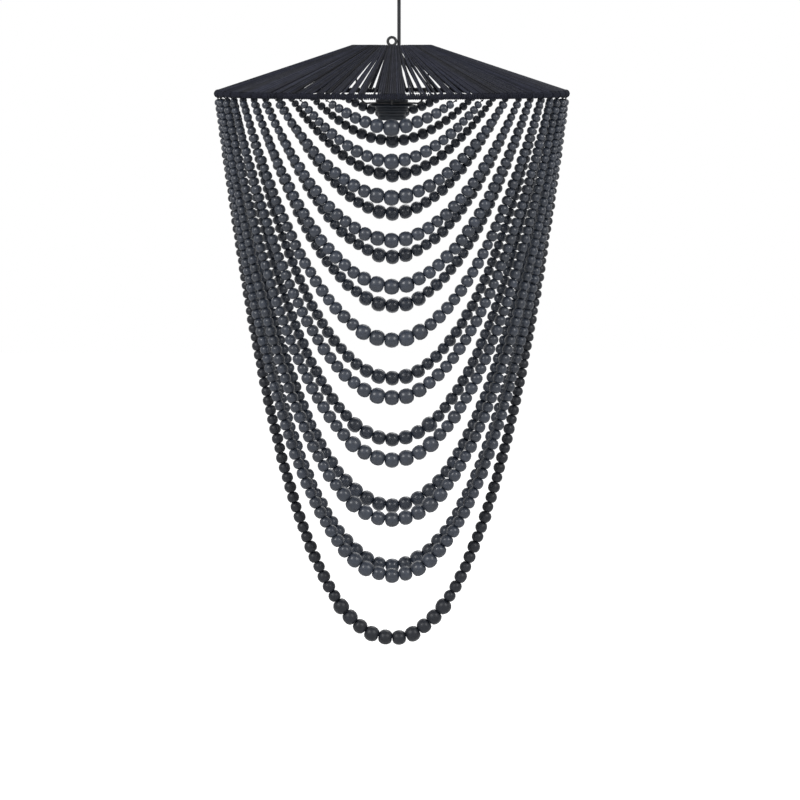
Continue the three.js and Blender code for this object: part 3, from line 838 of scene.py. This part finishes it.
def string_bead(shape, d, place, heading, chance):
    """A copy of the bead at its place on the string, and the bead as it stands by itself, for its
    pattern. It leans, and is out of true, by a little."""
    x, y, z = place
    spin = chance.uniform(0, 2 * math.pi)
    turn = Matrix.Rotation(chance.gauss(0, LEAN) - heading, 3, "Y")
    turn = turn @ Matrix.Rotation(chance.gauss(0, LEAN), 3, "Z")
    turn = turn @ Matrix.Rotation(math.pi / 2, 3, "Y") @ Matrix.Rotation(spin, 3, "Z")
    width = (d + sizes().bead_flat) * chance.uniform(1 - WIDTH_SPREAD, 1 + WIDTH_SPREAD)
    alone = shape * (width, width, d * FILL_SHARE)
    off = chance.uniform(-PLACE_SPREAD, PLACE_SPREAD) * d
    deep = chance.uniform(-DEPTH_SPREAD, DEPTH_SPREAD) * d
    middle = (x - off * math.sin(heading), y + deep, z + off * math.cos(heading))
    return alone @ np.array(turn).T + middle, alone


def hang_swag(name, tie_share, drop_share, facing, phase, bead, finish_name, slot):
    """A swag's beads, each a copy of the one bead turned to its string, and the string through
    them. The longest swag has a pair of beads at its lowest point."""
    angle = tie_share * math.pi / 2
    half = LOWER_R * math.sin(angle)
    y = facing * LOWER_R * math.cos(angle)
    paired = drop_share == 1
    lengths, chain, tie = fit_swag(half, sizes().longest_drop * drop_share, phase, paired)
    line = [(x, z, d) for (x, z), d in zip(chain, lengths)]
    line = [(-x, z, d) for x, z, d in reversed(line if paired else line[1:])] + line
    low = TIE_Z - tie[1]
    route = [(-tie[0], tie[1])] + [(x, z) for x, z, d in line] + [tie]
    chance = random.Random(name)
    shape, shape_faces = bead
    points = []
    faces = []
    patterns = []
    tones = []
    for (x, z, d), before, after in zip(line, route, route[2:]):
        heading = math.atan2(after[1] - before[1], after[0] - before[0])
        strung, alone = string_bead(shape, d, (AXIS_X + x, y, low + z), heading, chance)
        start = len(points) * len(shape)
        points.append(strung)
        faces += [tuple(start + v for v in f) for f in shape_faces]
        patterns.append(alone + [chance.uniform(-1, 1) for _ in range(3)])
        tones.append(np.full(len(shape), chance.random()))
    beads = new_piece(np.concatenate(points), faces)
    place = beads.data.attributes.new("bead_place", "FLOAT_VECTOR", "POINT")
    place.data.foreach_set("vector", np.concatenate(patterns).astype(np.float32).ravel())
    tone = beads.data.attributes.new("bead_tone", "FLOAT", "POINT")
    tone.data.foreach_set("value", np.concatenate(tones).astype(np.float32))
    node = name.replace("beads", "swag")
    dress(beads, name, node, finish_name, slot, replaces=[node], angle=70)
    string = Strands()
    string.add([(AXIS_X + x, y, low + z) for x, z in route], sizes().string, 5, normal=(0, 1, 0))
    dress(string.piece(), name.replace("beads", "string"), node, "bead_string", slot)


def draw_tie(strands, angle):
    """The string's end, drawn tight: a loop round the bound ring, and a small trefoil knot under
    it."""
    drawn = 0.75
    width = sizes().string * drawn
    reach = BOUND + width / 2
    out = outward(angle)
    turns = np.linspace(0, 2 * np.pi, 14, endpoint=False)
    loop = [round_wire(LOWER_R, LOWER_Z, reach, t, angle) for t in turns]
    strands.add(loop, width, sides=5, closed=True)
    middle = np.array(at_angle(LOWER_R, angle, LOWER_Z - reach - 0.6 * width))
    side = np.cross(out, UP)
    size = 0.32 * width
    knot = []
    for t in np.linspace(0, 2 * np.pi, 24, endpoint=False):
        across = math.sin(t) + 2 * math.sin(2 * t)
        along = math.cos(t) - 2 * math.cos(2 * t)
        rise = -1.6 * math.sin(3 * t)
        knot.append(middle + size * (across * side + along * out + rise * UP))
    strands.add(knot, width, sides=5, closed=True)


class CHANDELIER_OT_swags(bpy.types.Operator):
    """Strings the 21 swags of graded beads and ties them to the lower ring"""

    bl_idname = "chandelier.swags"
    bl_label = "Swags"

    def execute(self, context):
        self.bead = model_bead()
        self.ties = Strands()
        for k, (tie, drop) in enumerate(zip(FRONT_TIE_SHARES, FRONT_DROP_SHARES)):
            self.add_swag("front", f"beads_front_{k + 1:02d}", tie, drop, k)
        for k, (tie, drop) in enumerate(zip(BACK_TIE_SHARES, BACK_DROP_SHARES)):
            self.add_swag("back", f"beads_back_{k + 1:02d}", tie, drop, k + 0.5)
        self.add_swag("centre", "beads_centre", 1, 1, 0)
        dress(self.ties.piece(), "string_ties", "lamp", "bead_string", "front_beads")
        return {"FINISHED"}

    def add_swag(self, side, name, tie, drop, phase):
        """One swag and its two ties."""
        at_back = side == "back"
        slot = "back_beads" if at_back else "front_beads"
        # The side picks the bead colour, which is darker at the back and in the centre as painted
        # shade.
        hang_swag(name, tie, drop, 1 if at_back else -1, phase, self.bead,
                  f"stained_beads_{side}", slot)
        angle = tie * math.pi / 2
        for hand in (-1, 1):
            draw_tie(self.ties, hand * (math.pi - angle if at_back else angle))


# The hood


def cord_angles():
    """Where the cords cross the lower ring: side by side between the gaps at the front, and in
    pairs with uneven gaps round the rest. These gaps are drawn in no unit, larger at the back,
    and then scaled to the room that the cords leave."""
    chance = random.Random(12)
    width = sizes().hood_cord
    pitch = width * 1.06
    angles = []
    for before, after in zip(FRONT_GAPS, FRONT_GAPS[1:]):
        first = math.radians(before[1])
        last = math.radians(after[0])
        count = max(round((last - first) * LOWER_R / pitch), 1)
        angles += [first + (last - first) * (k + 0.5) / count for k in range(count)]
    pairs = sizes().pair_count
    start = math.radians(FRONT_GAPS[-1][1])
    span = 2 * math.pi + math.radians(FRONT_GAPS[0][0]) - start
    gaps = []
    for k in range(pairs):
        off_back = abs(math.degrees(start + span * (k + 0.5) / pairs) - 180)
        loose = 4.5 + 3 * chance.random()
        tight = 0.2 + 4.6 * chance.random() ** 1.6
        closed = (off_back - OPEN_BACK[0]) / (OPEN_BACK[1] - OPEN_BACK[0])
        gaps.append(loose + (tight - loose) * min(max(closed, 0), 1))
    share = (span * LOWER_R - 2 * pairs * width) / sum(gaps)
    at = start * LOWER_R
    for gap in gaps:
        angles += [(at + 0.5 * width) / LOWER_R, (at + 1.5 * width) / LOWER_R]
        at += 2 * width + gap * share
    return angles


def strung_cords():
    """Every cord from the top ring, which it hooks over, straight down to the lower ring."""
    s = sizes()
    strands = Strands()
    chance = random.Random(5)
    square = SLOPE + math.pi / 2
    low_angles = cord_angles()
    steps = 6
    narrow = np.full(len(HOOK_TURNS), TOP_WIDTH_SHARE)
    width = np.concatenate([narrow, np.linspace(TOP_WIDTH_SHARE, 1, steps)]) * s.hood_cord
    for k, low_angle in enumerate(low_angles):
        place = (k + chance.uniform(-0.3, 0.3)) / len(low_angles)
        high_angle = low_angles[0] + 2 * math.pi * place
        over = (s.ring_wire + TOP_WIDTH_SHARE * s.hood_cord) / 2 + k % TOP_LAYERS * LAYER_STEP
        hook = [round_wire(UPPER_R, UPPER_Z, over, math.radians(turn), high_angle)
                for turn in HOOK_TURNS]
        rest = (s.ring_wire + s.hood_cord) / 2
        high = np.array(round_wire(UPPER_R, UPPER_Z, over, square, high_angle))
        low = np.array(round_wire(LOWER_R, LOWER_Z, rest, square, low_angle))
        line = [tuple(high + (low - high) * t) for t in np.linspace(0, 1, steps)]
        strands.add(hook + line, width, offset=chance.uniform(0, 0.05), tone=chance.random())
    return strands.piece()


def binding():
    """The cord that is wound round the lower ring's wire, turn beside turn. It is pressed a little
    flat there, and its turns wander."""
    width = sizes().binding_cord
    pitch = width * 1.12
    pressed = 0.9
    most = 0.16
    count = int(2 * math.pi * LOWER_R / pitch)
    reach = sizes().ring_wire / 2 + width / 2 * pressed
    chance = random.Random(9)
    wander = [chance.uniform(-most, most) for _ in range(count)]
    steps = 8
    route = []
    normals = []
    for k in range(count):
        for j in range(steps):
            turn = 2 * math.pi * j / steps
            shift = wander[k] + (wander[(k + 1) % count] - wander[k]) * j / steps
            angle = 2 * math.pi * (k + shift + j / steps) / count
            route.append(round_wire(LOWER_R, LOWER_Z, reach, turn, angle))
            normals.append(math.cos(turn) * outward(angle) + math.sin(turn) * UP)
    strands = Strands()
    strands.add(route, width, sides=5, normal=normals, closed=True)
    return strands.piece()


class CHANDELIER_OT_hood_cords(bpy.types.Operator):
    """Strings the hood with cords and binds the lower ring"""

    bl_idname = "chandelier.hood_cords"
    bl_label = "Hood cords"

    def execute(self, context):
        cord = ("lamp", "twisted_hood_cord", "hood_cord")
        dress(strung_cords(), "hood_cords", *cord, ["hood_winding"], angle=80)
        dress(binding(), "lower_ring_binding", *cord, angle=80)
        return {"FINISHED"}


# The wire frame


def rod(start, end, width):
    """A straight wire with softly rounded ends."""
    start = Vector(start)
    end = Vector(end)
    deselect()
    bpy.ops.mesh.primitive_cylinder_add(
        vertices=16, radius=width / 2, depth=(end - start).length, location=(start + end) / 2,
        rotation=(end - start).to_track_quat("Z", "Y").to_euler())
    return soften(settle(bpy.context.object), width * 0.12)


def wire_ring(radius, height, width, sides, wire_sides=10, tilt=0.0):
    """A ring of round wire on the hood's axis. It lies flat, or is tilted about the line from left
    to right."""
    deselect()
    bpy.ops.mesh.primitive_torus_add(
        location=(AXIS_X, 0, height), rotation=(tilt, 0, 0), major_radius=radius,
        minor_radius=width / 2, major_segments=sides, minor_segments=wire_sides)
    return settle(bpy.context.object)


class CHANDELIER_OT_wire_frame(bpy.types.Operator):
    """Makes the two rings, the ribs, the cross bars, the eye and the drop spider"""

    bl_idname = "chandelier.wire_frame"
    bl_label = "Wire frame"

    def execute(self, context):
        s = sizes()
        wire = ("lamp", "powder_coated_wire", "wire_frame")
        rings = (("lower_ring", LOWER_R, LOWER_Z, 120), ("upper_ring", UPPER_R, UPPER_Z, 72))
        for node, radius, height, sides in rings:
            ring = wire_ring(radius, height, s.ring_wire, sides)
            dress(ring, f"{node}_wire", *wire, [node])
        for k, angle in enumerate(even_angles(6)):
            rib = rod(at_angle(UPPER_R, angle, UPPER_Z), at_angle(LOWER_R, angle, LOWER_Z),
                      s.rib_wire)
            dress(rib, f"hood_rib_wire_{k + 1}", *wire, [f"hood_rib_{k + 1}"])
        bars = (
            ("cross_bar", (AXIS_X - UPPER_R, 0), (AXIS_X + UPPER_R, 0)),
            ("half_bar_front", (AXIS_X, -UPPER_R), (AXIS_X, -s.bar_wire / 2)),
            ("half_bar_back", (AXIS_X, s.bar_wire / 2), (AXIS_X, UPPER_R)),
        )
        for node, start, end in bars:
            bar = rod((*start, UPPER_Z), (*end, UPPER_Z), s.bar_wire)
            dress(bar, f"{node}_wire", *wire, [node])
        self.make_eye(wire)
        self.make_spider(wire)
        return {"FINISHED"}

    def make_eye(self, wire):
        """A ring of wire, brazed to the cross bars in a small fillet."""
        low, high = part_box("hanging_eye")
        width = sizes().eye_wire
        eye = wire_ring((high.z - low.z - width) / 2, (low.z + high.z) / 2, width, 40, 12,
                        tilt=math.pi / 2)
        foot_top = low.z + width * 0.7
        foot = spun(rounded([
            (0, foot_top), (width * 0.6, foot_top), (width * 1.1, low.z - 0.2 * MM),
            (width * 1.5, UPPER_Z), (0, UPPER_Z),
        ], 0.6 * MM), steps=20)
        pick(eye)
        foot.select_set(True)
        bpy.ops.object.join()
        dress(eye, "eye", *wire, ["hanging_eye"])

    def make_spider(self, wire):
        """The flat ring under the lampholder's collar, and four arms welded to it."""
        s = sizes()
        outer, bottom, top = turned("fitter_ring")
        middle = (bottom + top) / 2
        ring = spun(rounded([
            (BARREL_BORE, middle), (BARREL_BORE, top), (outer, top), (outer, bottom),
            (BARREL_BORE, bottom), (BARREL_BORE, middle),
        ], 0.5 * MM, 2), steps=64)
        dress(ring, "fitter", *wire, ["fitter_ring"])
        weld = 0.6 * MM
        run = UPPER_R - (outer - weld)
        rise = UPPER_Z - s.ring_wire / 2 - middle
        for k, angle in enumerate(even_angles(4)):
            route = [at_angle(outer - weld + run * out, angle, middle + rise * up)
                     for out, up in zip(ARM_RUN_SHARES, ARM_RISE_SHARES)]
            arm = Strands()
            arm.add(smooth_route(route, 2.5 * MM), s.arm_wire, sides=12)
            dress(arm.piece(), f"spider_arm_{k + 1}", *wire, [f"drop_arm_{k + 1}"])


# The lampholder


class CHANDELIER_OT_lampholder(bpy.types.Operator):
    """Makes the lampholder's shells, its threaded rings and its contacts"""

    bl_idname = "chandelier.lampholder"
    bl_label = "Lampholder"

    def execute(self, context):
        holder = ("lamp", "moulded_phenolic", "lampholder")
        self.make_gland(holder)
        self.make_cap(holder)
        self.make_grip_ribs(holder)
        self.make_skirt(holder)
        self.make_shade_ring(holder)
        self.make_insulator()
        self.make_contacts()
        return {"FINISHED"}

    def make_gland(self, holder):
        """A nut with a narrower clamp on it, for the lamp cord."""
        r, bottom, top = turned("cord_gland")
        seat = bottom - 0.3 * MM
        crown = top + 0.3 * MM
        nut = bottom + (top - bottom) * 0.6
        gland = spun(rounded([
            (0, seat), (r, seat), (r, nut), (r * 0.84, nut + 0.3 * MM), (r * 0.8, crown),
            (r * 0.55, crown), (0, crown - 0.4 * MM),
        ], 0.5 * MM), steps=24)
        dress(gland, "gland", *holder, ["cord_gland"])

    def make_cap(self, holder):
        """A tapered cap with a rounded shoulder and a straight lip."""
        outer, bottom, top = turned("lamp_cap")
        neck = outer * NECK_SHARE
        shoulder = 5 * MM
        crown = neck - shoulder
        wall = 2 * MM
        cap = spun(rounded([
            (0, top), (crown, top), (neck, top - shoulder), (outer - 0.8 * MM, bottom + 3.2 * MM),
            (outer, bottom + 2.6 * MM), (outer, bottom), (outer - wall, bottom),
            (neck - wall, top - shoulder), (crown, top - wall), (0, top - wall),
        ], 2.5 * MM, 5), steps=64)
        dress(cap, "holder_cap", *holder, ["lamp_cap"])

    def make_grip_ribs(self, holder):
        """Ribs round the lower part of the cap, each tapered at both ends."""
        outer, bottom, top = turned("lamp_cap")
        neck = outer * NECK_SHARE
        width = np.array((0.3, 0.9, 1, 1, 0.9, 0.3)) * 1.5 * MM
        ribs = Strands()
        for angle in even_angles(24):
            ends = [at_angle(outer + (neck - outer) * share, angle, bottom + (top - bottom) * share)
                    for share in (0.12, 0.72)]
            ribs.add(np.linspace(*ends, len(width)), width, sides=8)
        dress(ribs.piece(), "holder_grip_ribs", *holder)

    def make_skirt(self, holder):
        """The threaded skirt, with a collar at its top and a rounded lower edge."""
        collar, bottom, top = turned("lamp_skirt")
        outer = 20 * MM
        bore = 17.6 * MM
        step = top - 3.6 * MM
        outline = [
            (bore, top), (collar - 0.8 * MM, top), (collar, top - 0.8 * MM),
            (collar, step + 0.6 * MM), (collar - 0.6 * MM, step), (outer - 0.6 * MM, step),
            *thread(outer, step - 0.4 * MM, bottom + 3.4 * MM, 4 * MM, 0.9 * MM),
            (outer - 0.2 * MM, bottom + 2.6 * MM), (outer - 0.5 * MM, bottom + 1.2 * MM),
            (outer - 1.3 * MM, bottom + 0.2 * MM), (outer - 1.8 * MM, bottom), (bore, bottom),
            (bore, top),
        ]
        dress(spun(outline, steps=64), "holder_skirt", *holder, ["lamp_skirt"])

    def make_shade_ring(self, holder):
        """The ring that clamps the spider: a broad flange with a grooved rim on a ribbed barrel."""
        flange, bottom, top = turned("shade_ring")
        hub = 23.25 * MM
        rim = top - 3.5 * MM
        outline = [
            (BARREL_BORE, top), (flange - 1.2 * MM, top), (flange - 0.3 * MM, top - 0.5 * MM),
            (flange, top - 1.1 * MM), (flange - 0.7 * MM, top - 1.6 * MM),
            (flange, top - 2.1 * MM), (flange - 0.2 * MM, rim + 0.6 * MM), (flange - 1 * MM, rim),
            (hub + 1.2 * MM, rim), (hub, rim - 0.8 * MM),
            *thread(hub, rim - 0.8 * MM, bottom + 1 * MM, 2.6 * MM, 0.9 * MM),
            (hub, bottom + 0.8 * MM), (hub - 0.8 * MM, bottom), (BARREL_BORE, bottom),
            (BARREL_BORE, top),
        ]
        dress(spun(outline, steps=64), "clamping_ring", *holder, ["shade_ring"])

    def make_insulator(self):
        """A disc with a rounded edge and a low boss under it. It fills its seat."""
        seat, bottom, top = turned("contact_base")
        outer = seat * 1.012
        boss = 6 * MM
        step = 0.8 * MM
        disc = spun(rounded([
            (0, top), (outer, top), (outer, bottom + 1.5 * MM), (outer - 1.2 * MM, bottom),
            (boss, bottom), (boss - 0.6 * MM, bottom + step), (0, bottom + step),
        ], 0.8 * MM), steps=48)
        dress(disc, "insulator", "lamp", "glazed_porcelain", "contact_base", ["contact_base"])

    def make_contacts(self):
        """The threaded shell for the lamp's screw, and the sprung contact over it."""
        brass = ("lamp", "pressed_brass", "contacts")
        outer, bottom, top = turned("screw_shell")
        wall = 0.6 * MM
        inset = wall + 0.3 * MM
        ribs = thread(outer, top - 1 * MM, bottom + 1 * MM, 3.6 * MM, 0.5 * MM)
        outline = [
            (outer, top), *ribs, (outer, bottom + 0.6 * MM), (outer + 0.5 * MM, bottom),
            (outer - inset, bottom), *[(r - inset, z) for r, z in reversed(ribs)],
            (outer - wall, top), (outer, top),
        ]
        dress(spun(outline, steps=56), "threaded_shell", *brass, ["screw_shell"])
        reach, bottom, top = turned("centre_contact")
        contact = spun(rounded([
            (0, top), (reach, top), (reach, top - 0.5 * MM), (reach * 0.5, bottom), (0, bottom),
        ], 0.6 * MM), steps=24)
        dress(contact, "spring_contact", *brass, ["centre_contact"])


# The lamp cord and the ceiling rose


class CHANDELIER_OT_lamp_cord(bpy.types.Operator):
    """Runs the braided lamp cord from the rose, behind the eye, to the lampholder"""

    bl_idname = "chandelier.lamp_cord"
    bl_label = "Lamp cord"

    def execute(self, context):
        width = sizes().lamp_cord
        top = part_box("rose_cord")[1].z
        reach_back = CORD_HIGH.y - width / 2
        fall = CORD_LOW.z - CORD_HIGH.z
        places = [(0, 0, top + (CORD_HIGH.z - top) * k / 4) for k in range(4)]
        for drop, run, back in zip(CORD_DROP_SHARES, CORD_RUN_SHARES, CORD_BACK_SHARES):
            places.append((AXIS_X * run, reach_back * back, CORD_HIGH.z + fall * drop))
        route = smooth_route(places, 1.6 * MM)
        flex = Strands()
        flex.add(route, width, sides=16, normal=(0.2, -1, 0.1))
        piece = flex.piece()
        dress(piece, "lamp_flex", None, "braided_flex", "lamp_cord",
              replaces=["rose_cord", "lamp_cord"], angle=60)
        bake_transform(piece)
        return {"FINISHED"}


class CHANDELIER_OT_rose(bpy.types.Operator):
    """Makes the ceiling rose: cup, cord grip, plate, anchor and terminal block"""

    bl_idname = "chandelier.rose"
    bl_label = "Ceiling rose"

    def execute(self, context):
        self.make_cup()
        self.make_grip()
        plate = softened_copy("ceiling_plate", 0.35 * MM)
        dress(plate, "fixing_plate", "ceiling_rose", "zinc_plate", "ceiling_plate",
              ["ceiling_plate"])
        self.make_anchor()
        block = softened_copy("terminal_block", 0.5 * MM)
        dress(block, "connector_block", "ceiling_rose", "moulded_nylon", "terminal_block",
              ["terminal_block"])
        return {"FINISHED"}

    def make_cup(self):
        """A pressed cup with a rounded lower edge and a hole for the cord's bush."""
        outer, bottom, top = turned("rose_cup")
        wall = 1.2 * MM
        hole = 5.3 * MM
        bend = 1.6 * MM
        inner = outer - wall
        floor = bottom + wall
        cup = spun(rounded([
            (inner, top), (outer, top), (outer, bottom + bend), (outer - bend, bottom),
            (hole, bottom), (hole, floor), (inner - bend, floor), (inner, floor + bend),
            (inner, top),
        ], 6 * MM, 6), steps=96, axis_x=0)
        dress(cup, "rose_shell", "rose_cup", "powder_coated_wire", "rose", ["rose_cup"])

    def make_grip(self):
        """The cord's bush: a flange under the cup's floor, and a sleeve through its hole."""
        flange, bottom, top = turned("cord_grip")
        bore = 2.75 * MM
        sleeve = 5 * MM
        step = bottom + 3 * MM
        grip = spun(rounded([
            (bore, bottom), (4.4 * MM, bottom), (flange * 0.8, bottom + 0.8 * MM),
            (flange, step - 0.9 * MM), (flange, step + 0.3 * MM), (sleeve, step + 0.3 * MM),
            (sleeve, top), (bore, top), (bore, bottom),
        ], 0.5 * MM), steps=32, axis_x=0)
        dress(grip, "cord_bush", "rose_cup", "moulded_phenolic", "lampholder", ["cord_grip"])

    def make_anchor(self):
        """A headed peg that holds the cord's end."""
        r, bottom, top = turned("cord_anchor")
        shank = r * 0.82
        anchor = spun(rounded([
            (0, top), (r, top), (r, top - 2 * MM), (shank, top - 2.6 * MM),
            (shank, bottom + 1 * MM), (r * 0.7, bottom), (0, bottom),
        ], 0.5 * MM), steps=24, axis_x=0)
        dress(anchor, "anchor", "ceiling_rose", "moulded_nylon", "lampholder", ["cord_anchor"])


# The stage


class CHANDELIER_OT_stage(bpy.types.Operator):
    """Sets a pale floor and backdrop, soft lights and the camera at the photograph's angle"""

    bl_idname = "chandelier.stage"
    bl_label = "Stage"

    def execute(self, context):
        self.make_floor()
        self.make_world(context)
        self.make_lights(context)
        self.make_camera(context)
        return {"FINISHED"}

    def make_floor(self):
        """A pale floor below the chandelier, which takes its shadow. It is clear when seen from
        under it, so that the underside of the chandelier shows."""
        below = 0.45
        deselect()
        bpy.ops.mesh.primitive_plane_add(size=14, location=(0, 0, FRAME_BOX[0][2] - below))
        floor = bpy.context.object
        floor.name = "floor"
        material = bpy.data.materials.new("pale_floor")
        material.use_nodes = True
        tree = material.node_tree
        tree.nodes.clear()
        seen = add_node(tree, "ShaderNodeLightPath").outputs["Is Camera Ray"]
        matt = add_node(tree, "ShaderNodeBsdfDiffuse", inputs={"Color": grey(0.85)}).outputs[0]
        glow = add_node(tree, "ShaderNodeEmission", inputs={
            "Color": grey(1), "Strength": 0.62}).outputs[0]
        lit = add_node(tree, "ShaderNodeAddShader", inputs={0: matt, 1: glow}).outputs[0]
        pale = add_node(tree, "ShaderNodeMixShader", inputs={0: seen, 1: matt, 2: lit}).outputs[0]
        under = add_node(tree, "ShaderNodeNewGeometry").outputs["Backfacing"]
        clear = add_node(tree, "ShaderNodeBsdfTransparent").outputs[0]
        both = add_node(tree, "ShaderNodeMixShader", inputs={
            0: under, 1: pale, 2: clear}).outputs[0]
        add_node(tree, "ShaderNodeOutputMaterial", inputs={"Surface": both})
        floor.data.materials.append(material)

    def make_world(self, context):
        """A white backdrop for the camera. The pieces are lit by a dimmer one, and mirror one in
        between."""
        world = bpy.data.worlds.new("studio")
        context.scene.world = world
        world.use_nodes = True
        tree = world.node_tree
        tree.nodes.clear()
        path = add_node(tree, "ShaderNodeLightPath").outputs
        mirrored = add_node(tree, "ShaderNodeMath", {"operation": "MAXIMUM"}, {
            0: path["Is Glossy Ray"], 1: path["Is Transmission Ray"]}).outputs[0]
        soft, bright, white = (
            add_node(tree, "ShaderNodeBackground", inputs={
                "Color": grey(1), "Strength": strength}).outputs[0]
            for strength in (0.5, 0.8, 1.0))
        room = add_node(tree, "ShaderNodeMixShader", inputs={
            0: mirrored, 1: soft, 2: bright}).outputs[0]
        seen = add_node(tree, "ShaderNodeMixShader", inputs={
            0: path["Is Camera Ray"], 1: room, 2: white}).outputs[0]
        add_node(tree, "ShaderNodeOutputWorld", inputs={"Surface": seen})

    def make_lights(self, context):
        """Two softboxes in front and one behind, all turned to the chandelier's middle."""
        middle = Vector((AXIS_X, 0, -0.45))
        for name, place, size, power in (
            ("left_softbox", (-1.9, -2.0, 1.0), 1.3, 52),
            ("right_softbox", (1.9, -2.0, 1.0), 1.3, 44),
            ("rim", (0.6, 2.4, 1.6), 1.6, 26),
        ):
            lamp = bpy.data.lights.new(name, "AREA")
            lamp.size = size
            lamp.energy = power
            light = bpy.data.objects.new(name, lamp)
            context.scene.collection.objects.link(light)
            light.location = place
            light.rotation_euler = (middle - Vector(place)).to_track_quat("-Z", "Y").to_euler()

    def make_camera(self, context):
        """The photograph's camera, in front of the hood's axis and a little to its right, level
        with the hood's top and pitched down."""
        distance = 3.494
        to_right = 11.4 * MM
        pitch = math.radians(8.219)
        sensor = 36
        focal_pixels = 2457.7
        picture_pixels = 800
        lens = bpy.data.cameras.new("photograph")
        lens.sensor_fit = "HORIZONTAL"
        lens.sensor_width = sensor
        lens.lens = focal_pixels / picture_pixels * sensor
        camera = bpy.data.objects.new("camera", lens)
        context.scene.collection.objects.link(camera)
        camera.location = (AXIS_X + to_right, -distance, TOP)
        camera.rotation_euler = (math.pi / 2 - pitch, 0, 0)
        context.scene.camera = camera
        context.scene.view_settings.view_transform = "Standard"


class CHANDELIER_PT_panel(bpy.types.Panel):
    """Lists the chandelier's sizes and colours, and its pieces in the order that they are made"""

    bl_label = "Beaded Chandelier"
    bl_idname = "CHANDELIER_PT_panel"
    bl_space_type = "VIEW_3D"
    bl_region_type = "UI"
    bl_category = "Chandelier"

    def draw(self, context):
        layout = self.layout
        for group in (context.scene.chandelier_sizes, context.scene.chandelier_colours):
            box = layout.box()
            for name in group.__annotations__:
                box.prop(group, name)
        for name in STEPS:
            layout.operator(f"chandelier.{name}")


STEPS = ("stage", "lamp_cord", "rose", "wire_frame", "lampholder", "hood_cords", "swags")

CLASSES = (
    ChandelierSizes,
    ChandelierColours,
    CHANDELIER_OT_stage,
    CHANDELIER_OT_lamp_cord,
    CHANDELIER_OT_rose,
    CHANDELIER_OT_wire_frame,
    CHANDELIER_OT_lampholder,
    CHANDELIER_OT_hood_cords,
    CHANDELIER_OT_swags,
    CHANDELIER_PT_panel,
)


def register():
    for cls in CLASSES:
        bpy.utils.register_class(cls)
    bpy.types.Scene.chandelier_sizes = PointerProperty(type=ChandelierSizes)
    bpy.types.Scene.chandelier_colours = PointerProperty(type=ChandelierColours)


def unregister():
    del bpy.types.Scene.chandelier_colours
    del bpy.types.Scene.chandelier_sizes
    for cls in reversed(CLASSES):
        bpy.utils.unregister_class(cls)


def main():
    register()
    for name in STEPS:
        getattr(bpy.ops.chandelier, name)()


if __name__ == "__main__":
    main()
